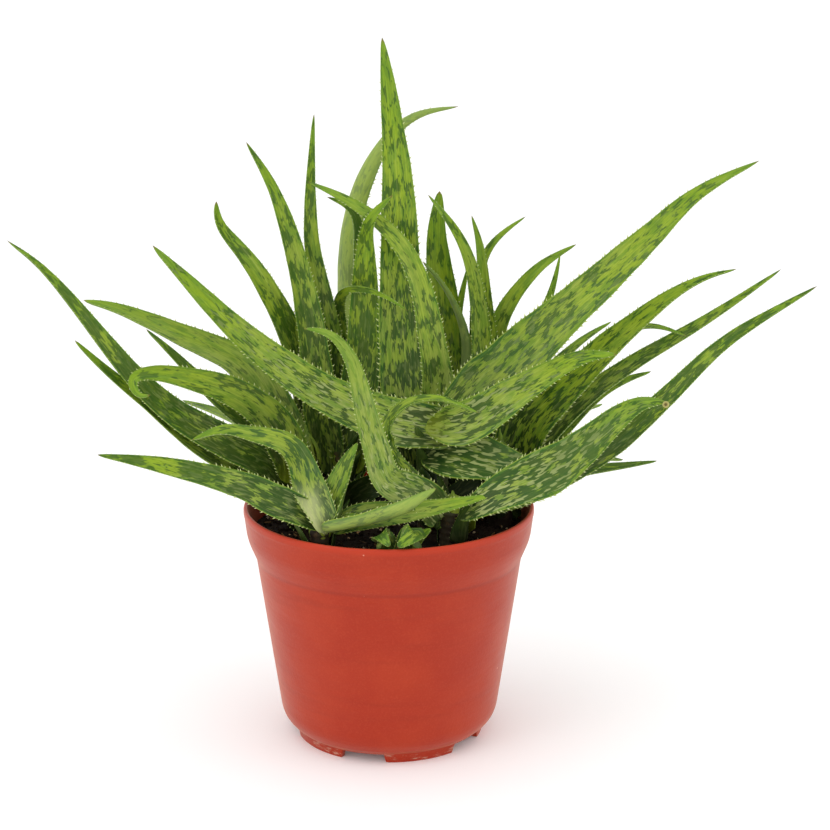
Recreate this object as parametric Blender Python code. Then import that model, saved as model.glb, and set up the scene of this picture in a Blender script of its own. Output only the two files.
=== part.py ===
# Spider aloe in a 12 cm plastic nursery pot: seven rosettes of narrow toothed leaves and one
# tiny offset stand close together in potting soil.
# Metres, +Z up. The origin is the centre of the pot's base; -Y is the front, where the tiny
# offset stands at the rim. The tables below are in millimetres.

import math

import bmesh
import bpy
import numpy as np
from mathutils import Matrix

MM = 0.001
CLEARANCE = 0.35            # gap between pieces that rest on each other

# pot
RIM_RADIUS = 60.0
RIM_HEIGHT = 98.6
RIM_WALL = 1.8
WALL = 1.3
COLLAR_RADIUS = 56.9        # outside, just above the ledge
BODY_RADIUS = 55.0          # outside, just below the ledge
LEDGE_HEIGHT = 77.4
HEEL_RADIUS = 45.4          # outside, where the wall turns in to the base
HEEL_HEIGHT = 12.0
FOOT_RADIUS = 38.9
FOOT_WIDTH = 2.5
FLOOR_HEIGHT = 5.6          # underside of the pot's floor above the surface
FLOOR_THICKNESS = 1.6
FEET = 5
NOTCH_WIDTH = 18.5
NOTCH_HEIGHT = 3.8
FIRST_NOTCH = -15.5         # degrees from the front, towards +X
DRAIN_RADIUS = 3.5
DRAIN_CIRCLE = 27.0
POT_SIDES = 50

# soil
SOIL_EDGE_HEIGHT = 87.5
SOIL_MOUND = 3.0            # how much the middle stands above the edge
SOIL_ROUGHNESS = 1.1
SOIL_SIDES = 30
ROOT_DEPTH = 13.0           # how deep a stem stands in its hole

# rosettes: place of the stem, its radius, its top and the height of the heart above it
ROSETTES = {
    "main": {"at": (18, -6), "radius": 6.5, "top": 127, "heart": 10},
    "rear_left": {"at": (-22, 24), "radius": 5.5, "top": 118, "heart": 14},
    "left": {"at": (-34, 4), "radius": 5.5, "top": 117, "heart": 11},
    "front_left": {"at": (-27, -40), "radius": 4.0, "top": 101, "heart": 8},
    "front": {"at": (26, -28), "radius": 5.5, "top": 105, "heart": 5},
    "right": {"at": (46, 6), "radius": 5.5, "top": 115, "heart": 11},
    "rear_right": {"at": (36, 29), "radius": 5.5, "top": 112, "heart": 11},
}
STEM_SIDES = 14
SOIL_LINE = 89.0            # where a stem leaves the soil, near enough for all of them

# Leaves. seat: height at which it leaves the stem. route: points that its midrib passes on the
# way to its tip, which is the last one. face: direction in which its upper side looks, at the
# base and, where the leaf turns, at the tip.
LEAVES = {
    "main_tall": {
        "rosette": "main", "seat": 119, "width": 21, "face": (0.0, -1.0, 0.1),
        "route": [(8, 4.5, 148), (4.5, 11, 205), (2, 20, 250), (-2.5, 28, 287)]},
    "main_back_left": {
        "rosette": "main", "seat": 121, "width": 11, "face": (0.3, -1.0, 0.2),
        "route": [(25, 2, 150), (20, -3, 168), (12, -1, 193), (1, 5, 211), (-18, 12, 224), (-33, 18, 230)]},
    "main_left": {
        "rosette": "main", "seat": 119.5, "width": 21, "face": (0.2, -0.9, 0.7),
        "route": [(-3, -14, 138), (-35, -12, 154), (-57, -10, 171), (-76, -6, 189), (-94, -4, 208)]},
    "main_right": {
        "rosette": "main", "seat": 125.5, "width": 24, "face": (-0.2, -1.0, 0.4),
        "route": [(37, -7, 147), (69, -10, 179), (108, -8, 216), (124, -6, 230), (147, -4, 242)]},
    "main_right_low": {
        "rosette": "main", "seat": 118.3, "width": 18, "face": (0.0, -1.0, 0.3),
        "route": [(19.6, -24.1, 132.9), (28, -27.5, 140), (38, -28, 145), (49, -28, 152.5), (62, -28, 160.5), (76, -29, 168), (90, -30, 169.5)]},
    "main_front_right": {
        "rosette": "main", "seat": 105, "width": 20, "face": (-0.1, -0.8, 0.55),
        "route": [(30.2, -17.6, 115.6), (33.8, -23.4, 125.9), (45, -28, 124.5), (56, -30.5, 122), (66, -31, 119)]},

    "rear_left_wide": {
        "rosette": "rear_left", "seat": 110, "width": 16, "face": (0.5, -0.8, 0.3), "taper": 0.6,
        "route": [(-34, 24, 134), (-39, 20.5, 158), (-50, 14, 186), (-60, 12, 202), (-68, 9, 214), (-69, 6, 224)]},
    "rear_left_long": {
        "rosette": "rear_left", "seat": 113, "width": 14, "face": (0.4, -0.9, 0.2),
        "route": [(-29, 14, 134), (-32, 14, 166), (-38.5, 15, 200), (-46.5, 14, 227), (-57, 12, 247)]},
    "rear_left_slim": {
        "rosette": "rear_left", "seat": 115, "width": 9, "face": (0.3, -1.0, 0.1),
        "route": [(-25, 30.5, 136), (-25, 27, 163), (-31, 23, 197), (-32, 22, 226), (-30, 22, 257)]},
    "rear_left_bowed": {
        "rosette": "rear_left", "seat": 103, "width": 14, "face": (0.7, 0.7, 0.2),
        "route": [(-17, 42, 150), (-17, 43, 202), (-7, 43, 234), (9, 43, 252), (29, 44, 257)]},
    "rear_left_dark": {
        "rosette": "rear_left", "seat": 109, "width": 11, "face": (0.5, -0.9, 0.2),
        "route": [(-9.5, 25.5, 150), (-12, 22, 196), (-13, 20, 213), (-17, 18, 220), (-25, 16, 224)]},
    "rear_left_hooked": {
        "rosette": "rear_left", "seat": 112, "width": 10, "face": (-0.2, -1.0, 0.1),
        "route": [(-11, 17, 150), (-9, 9, 203), (-6, 0, 219), (2, -3, 228)]},
    "rear_left_arch": {
        "rosette": "rear_left", "seat": 116, "width": 4, "face": (0.0, -1.0, -0.2),
        "route": [(-18.5, 33, 140), (-21, 29, 174), (-15, 11, 187), (-3, 0, 187), (8, -4, 181)]},
    "rear_left_back": {
        "rosette": "rear_left", "seat": 103, "width": 13, "face": (0.4, -0.4, 0.8),
        "route": [(-33, 40, 125), (-48, 62, 142), (-66, 82, 150)]},
    "rear_left_low": {
        "rosette": "rear_left", "seat": 97, "width": 14, "face": (-0.1, -0.5, 0.8),
        "route": [(-8, 42, 117), (1, 64, 141), (7, 88, 150)]},

    "left_hooked": {
        "rosette": "left", "seat": 114, "width": 17.5, "face": (0.1, -0.8, 0.5),
        "route": [(-45, -3, 130), (-60, -7, 146), (-80, -13, 155), (-95, -20, 159), (-101, -23, 157), (-99, -25, 152), (-94, -26, 152)]},
    "left_long": {
        "rosette": "left", "seat": 97.8, "width": 17, "face": (0.4, -0.7, 0.6),
        "route": [(-47, 1, 112), (-69, -5, 127), (-96, -8, 147), (-120, -8, 177), (-139, -6, 200),
                  (-152, -4, 210)]},
    "left_pale": {
        "rosette": "left", "seat": 113.3, "width": 19, "face": (0.2, -0.6, 0.8),
        "route": [(-48, 13, 132), (-60, 18.5, 151), (-83, 21, 163), (-111, 24, 175), (-127, 26, 179)]},
    "left_dark": {
        "rosette": "left", "seat": 108.1, "width": 12, "face": (0.3, -0.7, 0.7),
        "route": [(-52, 15.3, 122.5), (-69, 15, 137), (-86, 15.5, 155), (-100, 16, 169)]},
    "left_under": {
        "rosette": "left", "seat": 92.5, "width": 10, "face": (0.3, -0.6, 0.7),
        "route": [(-47, 6.8, 103), (-70, 7, 117), (-98, 8, 139), (-127, 9, 169)]},
    "left_back": {
        "rosette": "left", "seat": 100, "width": 13, "face": (0.3, -0.4, 0.8),
        "route": [(-41.5, 18.4, 111.6), (-66, 38, 124), (-90, 56, 128)]},

    "front_left_long": {
        "rosette": "front_left", "seat": 97, "width": 12.5, "face": (0.1, -0.9, 0.6),
        "route": [(-36, -44, 109), (-54, -46, 119), (-81, -50, 128.5), (-112, -54, 135.5)]},
    "front_left_arch": {
        "rosette": "front_left", "seat": 99, "width": 15, "face": (0.4, 0.4, 0.6), "turn": (0.0, -0.6, 1.0),
        "route": [(-29, -33, 112), (-34, -30, 123), (-40, -29, 132), (-53, -28, 136), (-65, -28, 138), (-78, -28, 134)]},
    "front_left_upright": {
        "rosette": "front_left", "seat": 99.5, "width": 9, "face": (-0.4, -0.8, 0.2),
        "route": [(-20, -36, 116), (-16, -32, 126), (-12, -28, 133)]},
    "front_left_spout": {
        "rosette": "front_left", "seat": 94, "width": 8, "face": (0.0, 0.5, 0.9),
        "route": [(-15, -47, 104), (3, -49, 111), (19, -50, 121)]},
    "front_left_strap": {
        "rosette": "front_left", "seat": 93.5, "width": 6, "face": (0.0, -0.5, 1.0),
        "route": [(-14, -38, 103.5), (13, -41.5, 107.5), (40, -43, 115)]},

    "front_curled": {
        "rosette": "front", "seat": 99.5, "width": 12, "face": (0.0, -0.4, 1.0), "turn": (0.0, 1.0, 0.2),
        "route": [(7, -36, 117), (-4, -43, 132), (-9, -45, 151), (-14, -46, 171), (-22, -45, 181),
                  (-32, -43, 183)]},
    "front_arch": {
        "rosette": "front", "seat": 104.5, "width": 4.5, "face": (0.0, -0.4, 1.0),
        "route": [(9, -31, 119), (-1, -34, 136), (5, -35, 149), (17, -35, 153), (27, -35, 151), (36, -35, 147)]},
    "front_broad": {
        "rosette": "front", "seat": 96.5, "width": 19, "face": (-0.2, -0.9, 0.5),
        "route": [(45, -38.5, 110.5), (64, -39, 124), (84, -37, 139), (99, -34, 150), (110, -34, 151)]},
    "front_long": {
        "rosette": "front", "seat": 102, "width": 13, "face": (-0.2, -0.8, 0.6),
        "route": [(42, -22, 106), (62, -21, 113), (85, -21, 126), (101, -21, 139), (129, -19, 167), (148, -18, 181), (170, -16, 194)]},

    "right_wide": {
        "rosette": "right", "seat": 112, "width": 22, "face": (-0.3, -0.8, 0.5), "taper": 1.1,
        "route": [(57, 4, 130), (76, 4, 151), (102, 3, 176), (125, 0, 193), (140, -2, 198)]},
    "right_long": {
        "rosette": "right", "seat": 105, "width": 11, "face": (-0.3, -0.7, 0.6),
        "route": [(61, 14, 118), (90, 14, 147), (122, 13, 168), (160, 12, 195)]},
    "right_hooked": {
        "rosette": "right", "seat": 106.5, "width": 5, "face": (-0.3, -0.5, 0.8),
        "route": [(57, 19.5, 125), (84, 22, 153), (100, 18, 168), (112, 10, 171), (122, 7, 168)]},
    "right_short": {
        "rosette": "right", "seat": 101, "width": 12, "face": (-0.2, -0.7, 0.7),
        "route": [(61, 20, 111), (88, 26, 138), (110, 28, 148)]},
    "right_dark": {
        "rosette": "right", "seat": 97, "width": 9, "face": (-0.1, -0.6, 0.8),
        "route": [(65, 8, 106), (92, 12, 110.5), (112, 14, 113)]},
    "right_small": {
        "rosette": "right", "seat": 102, "width": 9, "face": (-0.2, -0.7, 0.7),
        "route": [(59, -3, 112), (70, -2, 120), (80, 0, 125)]},
    "right_wedge": {
        "rosette": "right", "seat": 110, "width": 10, "face": (-0.4, -0.7, 0.5),
        "route": [(50, 20, 129), (66, 25, 148), (80, 27, 161), (93, 30, 169)]},
    "right_back": {
        "rosette": "right", "seat": 92.5, "width": 12, "face": (-0.3, -0.4, 0.8),
        "route": [(49, 21, 101), (76, 37, 107), (101, 46, 104)]},

    "rear_right_wide": {
        "rosette": "rear_right", "seat": 109, "width": 14, "face": (0.0, -1.0, 0.1), "taper": 0.5,
        "route": [(27, 33, 135), (22, 36, 180), (20, 36, 205), (21, 36, 223)]},
    "rear_right_bent": {
        "rosette": "rear_right", "seat": 108, "width": 10, "face": (0.3, -1.0, 0.1),
        "route": [(38.5, 22, 140), (38, 20, 163), (35, 18, 189), (28, 14, 209), (16, 10, 226)]},
    "rear_right_upright": {
        "rosette": "rear_right", "seat": 110, "width": 11, "face": (0.2, -1.0, 0.1),
        "route": [(44, 28, 140), (41, 28, 161), (39, 28, 187), (37, 26, 204), (34, 24, 215)]},
    "rear_right_bowed": {
        "rosette": "rear_right", "seat": 106, "width": 6, "face": (-0.2, -0.9, 0.3),
        "route": [(38, 41, 140), (37, 38, 168), (38, 38, 191), (45, 38, 205), (57, 38, 212)]},
    "rear_right_long": {
        "rosette": "rear_right", "seat": 106, "width": 8, "face": (-0.3, -0.9, 0.3),
        "route": [(44, 36, 140), (49, 35, 180), (63, 34, 192), (78, 34, 201)]},
    "rear_right_stiff": {
        "rosette": "rear_right", "seat": 102, "width": 7, "face": (-0.3, -0.9, 0.2),
        "route": [(53, 31, 128), (59, 32, 157), (67, 31, 179), (71, 30, 198)]},
    "rear_right_hidden": {
        "rosette": "rear_right", "seat": 103, "width": 7, "face": (0.2, -0.9, 0.2),
        "route": [(28.5, 43, 135), (29, 45, 168), (34, 48, 191)]},
    "rear_right_folded": {
        "rosette": "rear_right", "seat": 104, "width": 9, "face": (0.8, 0.2, 0.2),
        "route": [(30, 24, 132), (32, 24, 158), (28, 22, 176), (21, 20, 189), (14, 18, 197)]},
    "rear_right_back": {
        "rosette": "rear_right", "seat": 101, "width": 13, "face": (-0.2, -0.5, 0.8),
        "route": [(41, 46, 119), (51, 70, 136), (57, 92, 142)]},
    "rear_right_low": {
        "rosette": "rear_right", "seat": 98, "width": 12, "face": (-0.4, -0.3, 0.8),
        "route": [(52, 41, 108), (74, 60, 118), (94, 76, 121)]},
}

# shape that all leaves share, as shares of the leaf's length or width
TAPER = 0.8                 # power with which the width falls towards the tip
FULL_WIDTH_AT = 0.2         # the blade reaches its full width here
NECK = 0.42                 # width at the stem
TWIST_LENGTH = 16.0         # a blade faces its stem at the base and its own way from here on
THICKNESS_BASE = 1.0        # millimetres, plus a share of the width
THICKNESS_SHARE = 0.18
CHANNEL = 0.17              # how far the margins stand above the midrib
UPPER_SHARE = 0.25          # share of the thickness above the middle
SEAT_SHARE = 0.22           # how far the midrib stands off its stem, of the thickness
INNER_ROW = 0.6             # rows of points between midrib and margin
STATIONS = 10               # points along a row
TURNING_STATIONS = 3        # how many of them are where the blade turns
LAST_STATION = 0.965

# teeth: few enough to model, at their true size
TOOTH_SPACING = 13.0
TOOTH_BASE = 2.4
TOOTH_HEIGHT = 0.9
TOOTH_SHARE = 0.045         # and this share of the leaf's width
TEETH_FROM = 0.12
TEETH_TO = 0.93

# tiny offset at the front rim
OFFSET_AT = (5, -46)
OFFSET_RADIUS = 2.6
OFFSET_TOP = 92
OFFSET_LEAVES = [
    {"width": 6, "face": (0.0, -0.6, 0.8), "route": [(-1, -50, 96), (-7, -49, 101)]},
    {"width": 6, "face": (0.0, -0.3, 1.0), "route": [(6, -53, 99), (7, -62, 100)]},
    {"width": 6, "face": (0.0, -0.6, 0.8), "route": [(11, -48, 97), (17, -50, 104)]},
]

# linear RGB colour, roughness
COLOURS = {
    "pot": ((0.47, 0.055, 0.022), 0.42),
    "soil": ((0.018, 0.012, 0.008), 0.95),
    "stem": ((0.30, 0.33, 0.07), 0.6),
    "leaf": ((0.12, 0.22, 0.03), 0.45),
}


def clear_scene():
    for thing in list(bpy.data.objects):
        bpy.data.objects.remove(thing, do_unlink=True)


def material(name, colour_name):
    colour, roughness = COLOURS[colour_name]
    made = bpy.data.materials.new(name)
    made.use_nodes = True
    shader = made.node_tree.nodes["Principled BSDF"]
    shader.inputs["Base Color"].default_value = (*colour, 1.0)
    shader.inputs["Roughness"].default_value = roughness
    shader.inputs["Metallic"].default_value = 0.0
    return made


def object_from(name, mesh_builder, colour_name=None):
    """A scene object from a bmesh whose coordinates are in millimetres."""
    mesh_builder.transform(Matrix.Scale(MM, 4))
    bmesh.ops.recalc_face_normals(mesh_builder, faces=mesh_builder.faces)
    if mesh_builder.calc_volume(signed=True) < 0:
        bmesh.ops.reverse_faces(mesh_builder, faces=mesh_builder.faces)
    mesh = bpy.data.meshes.new(name)
    mesh_builder.to_mesh(mesh)
    mesh_builder.free()
    mesh.shade_smooth()
    mesh.set_sharp_from_angle(angle=math.radians(35))
    thing = bpy.data.objects.new(name, mesh)
    bpy.context.collection.objects.link(thing)
    if colour_name:
        mesh.materials.append(material(name, colour_name))
    return thing


def turned(profile, sides, centre=(0.0, 0.0)):
    """A closed body turned about a vertical axis. A profile point on the axis is a pole."""
    builder = bmesh.new()
    rings = []
    for radius, height in profile:
        if radius == 0:
            rings.append([builder.verts.new((*centre, height))])
            continue
        ring = []
        for side in range(sides):
            angle = 2 * math.pi * side / sides
            x = centre[0] + radius * math.cos(angle)
            y = centre[1] + radius * math.sin(angle)
            ring.append(builder.verts.new((x, y, height)))
        rings.append(ring)
    poles_at_both_ends = len(rings[0]) == 1 and len(rings[-1]) == 1
    following = rings[1:] if poles_at_both_ends else rings[1:] + rings[:1]
    for ring, next_ring in zip(rings, following):
        for side in range(sides):
            after = (side + 1) % sides
            corners = [ring[side % len(ring)], ring[after % len(ring)]]
            corners += [next_ring[after % len(next_ring)], next_ring[side % len(next_ring)]]
            unique = list(dict.fromkeys(corners))
            if len(unique) > 2:
                builder.faces.new(unique)
    return builder


def combine(target, tools, operation):
    """Boolean of the target with each tool, applied, after which the tools are removed."""
    for tool in tools:
        step = target.modifiers.new(operation, "BOOLEAN")
        step.operation = operation
        step.solver = "EXACT"
        step.object = tool
    view = bpy.context.evaluated_depsgraph_get()
    mesh = bpy.data.meshes.new_from_object(target.evaluated_get(view))
    target.modifiers.clear()
    target.data = mesh
    for tool in tools:
        bpy.data.objects.remove(tool, do_unlink=True)


def box_cutter(size, place, angle):
    builder = bmesh.new()
    bmesh.ops.create_cube(builder, size=1.0)
    turn = Matrix.Rotation(angle, 4, "Z")
    builder.transform(turn @ Matrix.Translation(place) @ Matrix.Diagonal((*size, 1.0)))
    return object_from("cutter", builder)


def front_angle(degrees_from_front):
    """Angle about +Z, in radians, of a direction counted from the front towards +X."""
    return math.radians(degrees_from_front - 90)


def make_pot():
    inner_collar = COLLAR_RADIUS - WALL
    inner_body = BODY_RADIUS - WALL
    inner_heel = HEEL_RADIUS - WALL
    floor_top = FLOOR_HEIGHT + FLOOR_THICKNESS
    profile = [
        (0, FLOOR_HEIGHT),
        (FOOT_RADIUS - FOOT_WIDTH, FLOOR_HEIGHT),
        (FOOT_RADIUS - FOOT_WIDTH, 0),
        (FOOT_RADIUS, 0),
        (FOOT_RADIUS + 0.6, NOTCH_HEIGHT + 0.2),
        (HEEL_RADIUS - 3.4, FLOOR_HEIGHT + 0.2),
        (HEEL_RADIUS - 1.1, HEEL_HEIGHT - 3.2),
        (HEEL_RADIUS, HEEL_HEIGHT),
        (BODY_RADIUS, LEDGE_HEIGHT),
        (COLLAR_RADIUS, LEDGE_HEIGHT + 1.3),
        (RIM_RADIUS, RIM_HEIGHT - 0.8),
        (RIM_RADIUS - 0.4, RIM_HEIGHT),
        (RIM_RADIUS - RIM_WALL + 0.4, RIM_HEIGHT),
        (RIM_RADIUS - RIM_WALL, RIM_HEIGHT - 0.8),
        (inner_collar, LEDGE_HEIGHT + 1.9),
        (inner_body, LEDGE_HEIGHT + 0.3),
        (inner_heel, HEEL_HEIGHT + 0.4),
        (inner_heel - 1.6, floor_top + 1.4),
        (inner_heel - 4.4, floor_top),
        (0, floor_top),
    ]
    pot = object_from("pot", turned(profile, POT_SIDES), "pot")
    cutters = []
    for foot in range(FEET):
        angle = front_angle(FIRST_NOTCH + foot * 360 / FEET)
        size = (FOOT_WIDTH * 3, NOTCH_WIDTH, NOTCH_HEIGHT + 2)
        place = (FOOT_RADIUS - FOOT_WIDTH / 2, 0, NOTCH_HEIGHT / 2 - 1)
        cutters.append(box_cutter(size, place, angle))
    for hole in range(FEET):
        angle = front_angle(FIRST_NOTCH + (hole + 0.5) * 360 / FEET)
        centre = (DRAIN_CIRCLE * math.cos(angle), DRAIN_CIRCLE * math.sin(angle))
        drain = [(0, FLOOR_HEIGHT - 2), (DRAIN_RADIUS, FLOOR_HEIGHT - 2), (DRAIN_RADIUS, floor_top + 2),
                 (0, floor_top + 2)]
        cutters.append(object_from("cutter", turned(drain, 10, centre)))
    combine(pot, cutters, "DIFFERENCE")


def soil_height(x, y):
    """Height of the soil's surface: a low mound with lumps."""
    reach = math.hypot(x, y) / RIM_RADIUS
    lumps = math.sin(x * 0.21 + 1.3) * math.cos(y * 0.26) + 0.6 * math.sin(x * 0.47 - y * 0.39)
    return SOIL_EDGE_HEIGHT + SOIL_MOUND * (1 - reach * reach) + SOIL_ROUGHNESS * 0.6 * lumps


def make_soil():
    gap = WALL + CLEARANCE
    bottom = FLOOR_HEIGHT + FLOOR_THICKNESS + CLEARANCE
    collar_slope = (RIM_RADIUS - RIM_WALL - COLLAR_RADIUS + WALL) / (RIM_HEIGHT - LEDGE_HEIGHT - 2.7)
    edge = COLLAR_RADIUS - gap + collar_slope * (SOIL_EDGE_HEIGHT - LEDGE_HEIGHT - 3.5)
    profile = [(0, bottom), (HEEL_RADIUS - gap - 5.0, bottom), (HEEL_RADIUS - gap - 2.2, bottom + 1.4)]
    profile += [(HEEL_RADIUS - gap - 0.4, HEEL_HEIGHT + 0.7), (BODY_RADIUS - gap - 0.2, LEDGE_HEIGHT + 0.3)]
    profile += [(COLLAR_RADIUS - gap - 0.2, LEDGE_HEIGHT + 2.3)]
    top_rings = [edge, 47.0, 36.0, 24.0, 12.0, 0]
    profile += [(radius, SOIL_EDGE_HEIGHT) for radius in top_rings]
    builder = turned(profile, SOIL_SIDES)
    for point in builder.verts:
        if point.co.z == SOIL_EDGE_HEIGHT:
            point.co.z = soil_height(point.co.x, point.co.y)
    soil = object_from("soil", builder, "soil")
    holes = []
    sockets = [(rosette["at"], rosette["radius"]) for rosette in ROSETTES.values()]
    sockets.append((OFFSET_AT, OFFSET_RADIUS))
    for centre, radius in sockets:
        depth = SOIL_LINE - ROOT_DEPTH - CLEARANCE
        hole = [(0, depth), (radius + 0.5, depth), (radius + 0.5, SOIL_LINE + 10), (0, SOIL_LINE + 10)]
        holes.append(object_from("cutter", turned(hole, STEM_SIDES, centre)))
    combine(soil, holes, "DIFFERENCE")


def smooth_path(points, count):
    """Points evenly spaced along a natural cubic spline through the given ones, and its
    directions there."""
    points = np.array(points, float)
    steps = np.sqrt(np.linalg.norm(np.diff(points, axis=0), axis=1))
    knots = np.concatenate([[0], np.cumsum(steps)])
    size = len(points)
    matrix = np.eye(size)
    right = np.zeros((size, 3))
    for i in range(1, size - 1):
        matrix[i, i - 1:i + 2] = [steps[i - 1], 2 * (steps[i - 1] + steps[i]), steps[i]]
        right[i] = 6 * ((points[i + 1] - points[i]) / steps[i] - (points[i] - points[i - 1]) / steps[i - 1])
    bend = np.linalg.solve(matrix, right)
    fine = np.linspace(0, knots[-1], 400)
    piece = np.clip(np.searchsorted(knots, fine, side="right") - 1, 0, size - 2)
    width = steps[piece][:, None]
    back = (knots[piece + 1] - fine)[:, None]
    ahead = (fine - knots[piece])[:, None]
    curve = bend[piece] * back ** 3 / (6 * width) + bend[piece + 1] * ahead ** 3 / (6 * width)
    curve += (points[piece] / width - bend[piece] * width / 6) * back
    curve += (points[piece + 1] / width - bend[piece + 1] * width / 6) * ahead
    run = np.concatenate([[0], np.cumsum(np.linalg.norm(np.diff(curve, axis=0), axis=1))])
    even = np.linspace(0, run[-1], count)
    placed = np.stack([np.interp(even, run, curve[:, axis]) for axis in range(3)], axis=1)
    ways = np.gradient(placed, axis=0)
    return placed, ways / np.linalg.norm(ways, axis=1)[:, None], run[-1]


def unit(vector):
    return vector / np.linalg.norm(vector)


class Leaf:
    """One blade: a midrib on a smooth path, a channelled upper side, a rounded lower side and
    toothed margins. u runs from base to tip, v across from one margin (-1) to the other (1)."""

    SAMPLES = 121

    def __init__(self, start, inward, row):
        self.width = row["width"]
        self.thickness = THICKNESS_BASE + THICKNESS_SHARE * self.width
        self.taper = row.get("taper", TAPER)
        self.face = np.array(row["face"])
        self.turn = np.array(row.get("turn", row["face"]))
        self.inward = np.array([*inward, 0.3])
        self.places, self.ways, self.length = smooth_path([start, *row["route"]], self.SAMPLES)
        turning = min(TWIST_LENGTH / self.length, 0.5)
        near = np.linspace(0, turning, TURNING_STATIONS, endpoint=False)
        self.stations = np.concatenate([near, np.linspace(turning, LAST_STATION, STATIONS - TURNING_STATIONS)])

    def frame(self, u):
        spot = u * (self.SAMPLES - 1)
        before = min(int(spot), self.SAMPLES - 2)
        share = spot - before
        place = self.places[before] * (1 - share) + self.places[before + 1] * share
        way = unit(self.ways[before] * (1 - share) + self.ways[before + 1] * share)
        face = self.face * (1 - u) + self.turn * u
        turned = min(u * self.length / TWIST_LENGTH, 1.0)
        turned = turned * turned * (3 - 2 * turned)
        face = self.inward * (1 - turned) + face * turned
        normal = unit(face - way * np.dot(face, way))
        return place, way, normal, np.cross(way, normal)

    def half_width(self, u):
        opened = min(u / FULL_WIDTH_AT, 1.0)
        neck = NECK + (1 - NECK) * opened * opened * (3 - 2 * opened)
        return 0.5 * self.width * neck * min((1 - u) / (1 - FULL_WIDTH_AT), 1.0) ** self.taper

    def section(self, u, v, upper):
        """Place of a point of the skin across the blade, in the blade's own frame."""
        half = self.half_width(u)
        opened = min(u / FULL_WIDTH_AT, 1.0)
        channel = CHANNEL * 2 * half * opened
        depth = self.thickness * (0.35 + 0.65 * (1 - u)) * (0.8 + 0.2 * opened)
        share = UPPER_SHARE if upper else UPPER_SHARE - 1
        return v * half, channel * v * v + depth * share * (1 - v * v)

    def point(self, u, v, upper=True):
        place, way, normal, side = self.frame(u)
        across, rise = self.section(u, v, upper)
        return place + side * across + normal * rise

    def edge(self, u, v):
        """A point of a margin, on the straight line between the stations on both sides of it."""
        after = min(max(int(np.searchsorted(self.stations, u)), 1), STATIONS - 1)
        low = self.stations[after - 1]
        high = self.stations[after]
        share = (u - low) / (high - low)
        return self.point(low, v) * (1 - share) + self.point(high, v) * share

    def tooth_tip(self, u, v, height):
        place, way, normal, side = self.frame(u)
        outward = unit(side * math.copysign(1, v) + normal * CHANNEL * 4)
        return self.edge(u, v) + outward * height + way * height * 0.35

    def margin(self, v, toothed=True):
        """Points along one margin as (u, point), with the teeth standing out of it."""
        if not toothed:
            return self.row(v, True)
        shift = 0.25 if v > 0 else 0.0
        count = max(3, round(self.length * (TEETH_TO - TEETH_FROM) / TOOTH_SPACING))
        half_base = TOOTH_BASE / 2 / self.length
        marks = []
        spans = []
        for tooth in range(count):
            u = TEETH_FROM + (TEETH_TO - TEETH_FROM) * (tooth + shift) / (count - 0.5)
            height = (TOOTH_HEIGHT + TOOTH_SHARE * self.width) * (1 - 0.45 * u)
            base = half_base * (1 - 0.4 * u)
            marks.append((u - base, self.edge(u - base, v)))
            marks.append((u, self.tooth_tip(u, v, height)))
            marks.append((u + base, self.edge(u + base, v)))
            spans.append((u - base * 1.3, u + base * 1.3))
        for u in self.stations:
            if not any(low < u < high for low, high in spans):
                marks.append((u, self.point(u, v)))
        return sorted(marks, key=lambda mark: mark[0])

    def row(self, v, upper):
        return [(u, self.point(u, v, upper)) for u in self.stations]


def stitch(builder, first, second):
    """Triangles between two rows of (u, vertex) that may differ in number."""
    i = 0
    j = 0
    while i < len(first) - 1 or j < len(second) - 1:
        step_first = j == len(second) - 1
        if i < len(first) - 1 and j < len(second) - 1:
            step_first = first[i + 1][0] <= second[j + 1][0]
        if step_first:
            builder.faces.new((first[i][1], first[i + 1][1], second[j][1]))
            i += 1
        else:
            builder.faces.new((first[i][1], second[j + 1][1], second[j][1]))
            j += 1


def leaf_body(leaf, toothed=True):
    builder = bmesh.new()
    tip = builder.verts.new(leaf.point(1.0, 0.0))
    outline = [leaf.margin(-1, toothed)]
    outline += [leaf.row(v, True) for v in (-INNER_ROW, 0.0, INNER_ROW)]
    outline += [leaf.margin(1, toothed)]
    outline += [leaf.row(v, False) for v in (INNER_ROW, 0.0, -INNER_ROW)]
    rows = []
    for marks in outline:
        rows.append([(u, builder.verts.new(point)) for u, point in marks])
    for row, next_row in zip(rows, rows[1:] + rows[:1]):
        stitch(builder, row, next_row)
        builder.faces.new((row[-1][1], tip, next_row[-1][1]))
    builder.faces.new([row[0][1] for row in rows])
    bmesh.ops.triangulate(builder, faces=builder.faces)
    return builder


def leaf_start(row):
    """Where a leaf's midrib leaves its stem, just clear of the stem's side, and the direction
    from there to the stem's middle."""
    rosette = ROSETTES[row["rosette"]]
    centre = np.array(rosette["at"], float)
    first = np.array(row["route"][0], float)
    away = unit(first[:2] - centre)
    thickness = THICKNESS_BASE + THICKNESS_SHARE * row["width"]
    seat_radius = rosette["radius"] + CLEARANCE + SEAT_SHARE * thickness
    return (*(centre + away * seat_radius), row["seat"]), -away


def make_leaves():
    for name, row in LEAVES.items():
        leaf = Leaf(*leaf_start(row), row)
        object_from("leaf_" + name, leaf_body(leaf), "leaf")


def stem_body(centre, radius, top, heart):
    """Stem with its rooted end below and the closed cone of the youngest leaves above."""
    root = SOIL_LINE - ROOT_DEPTH
    profile = [(0, root), (radius * 0.7, root), (radius, root + 4), (radius, top)]
    profile += [(radius * 0.62, top + heart * 0.4), (0, top + heart)]
    return turned(profile, STEM_SIDES, centre)


def make_stems():
    for name, rosette in ROSETTES.items():
        body = stem_body(rosette["at"], rosette["radius"], rosette["top"], rosette["heart"])
        object_from("stem_" + name, body, "stem")


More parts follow.
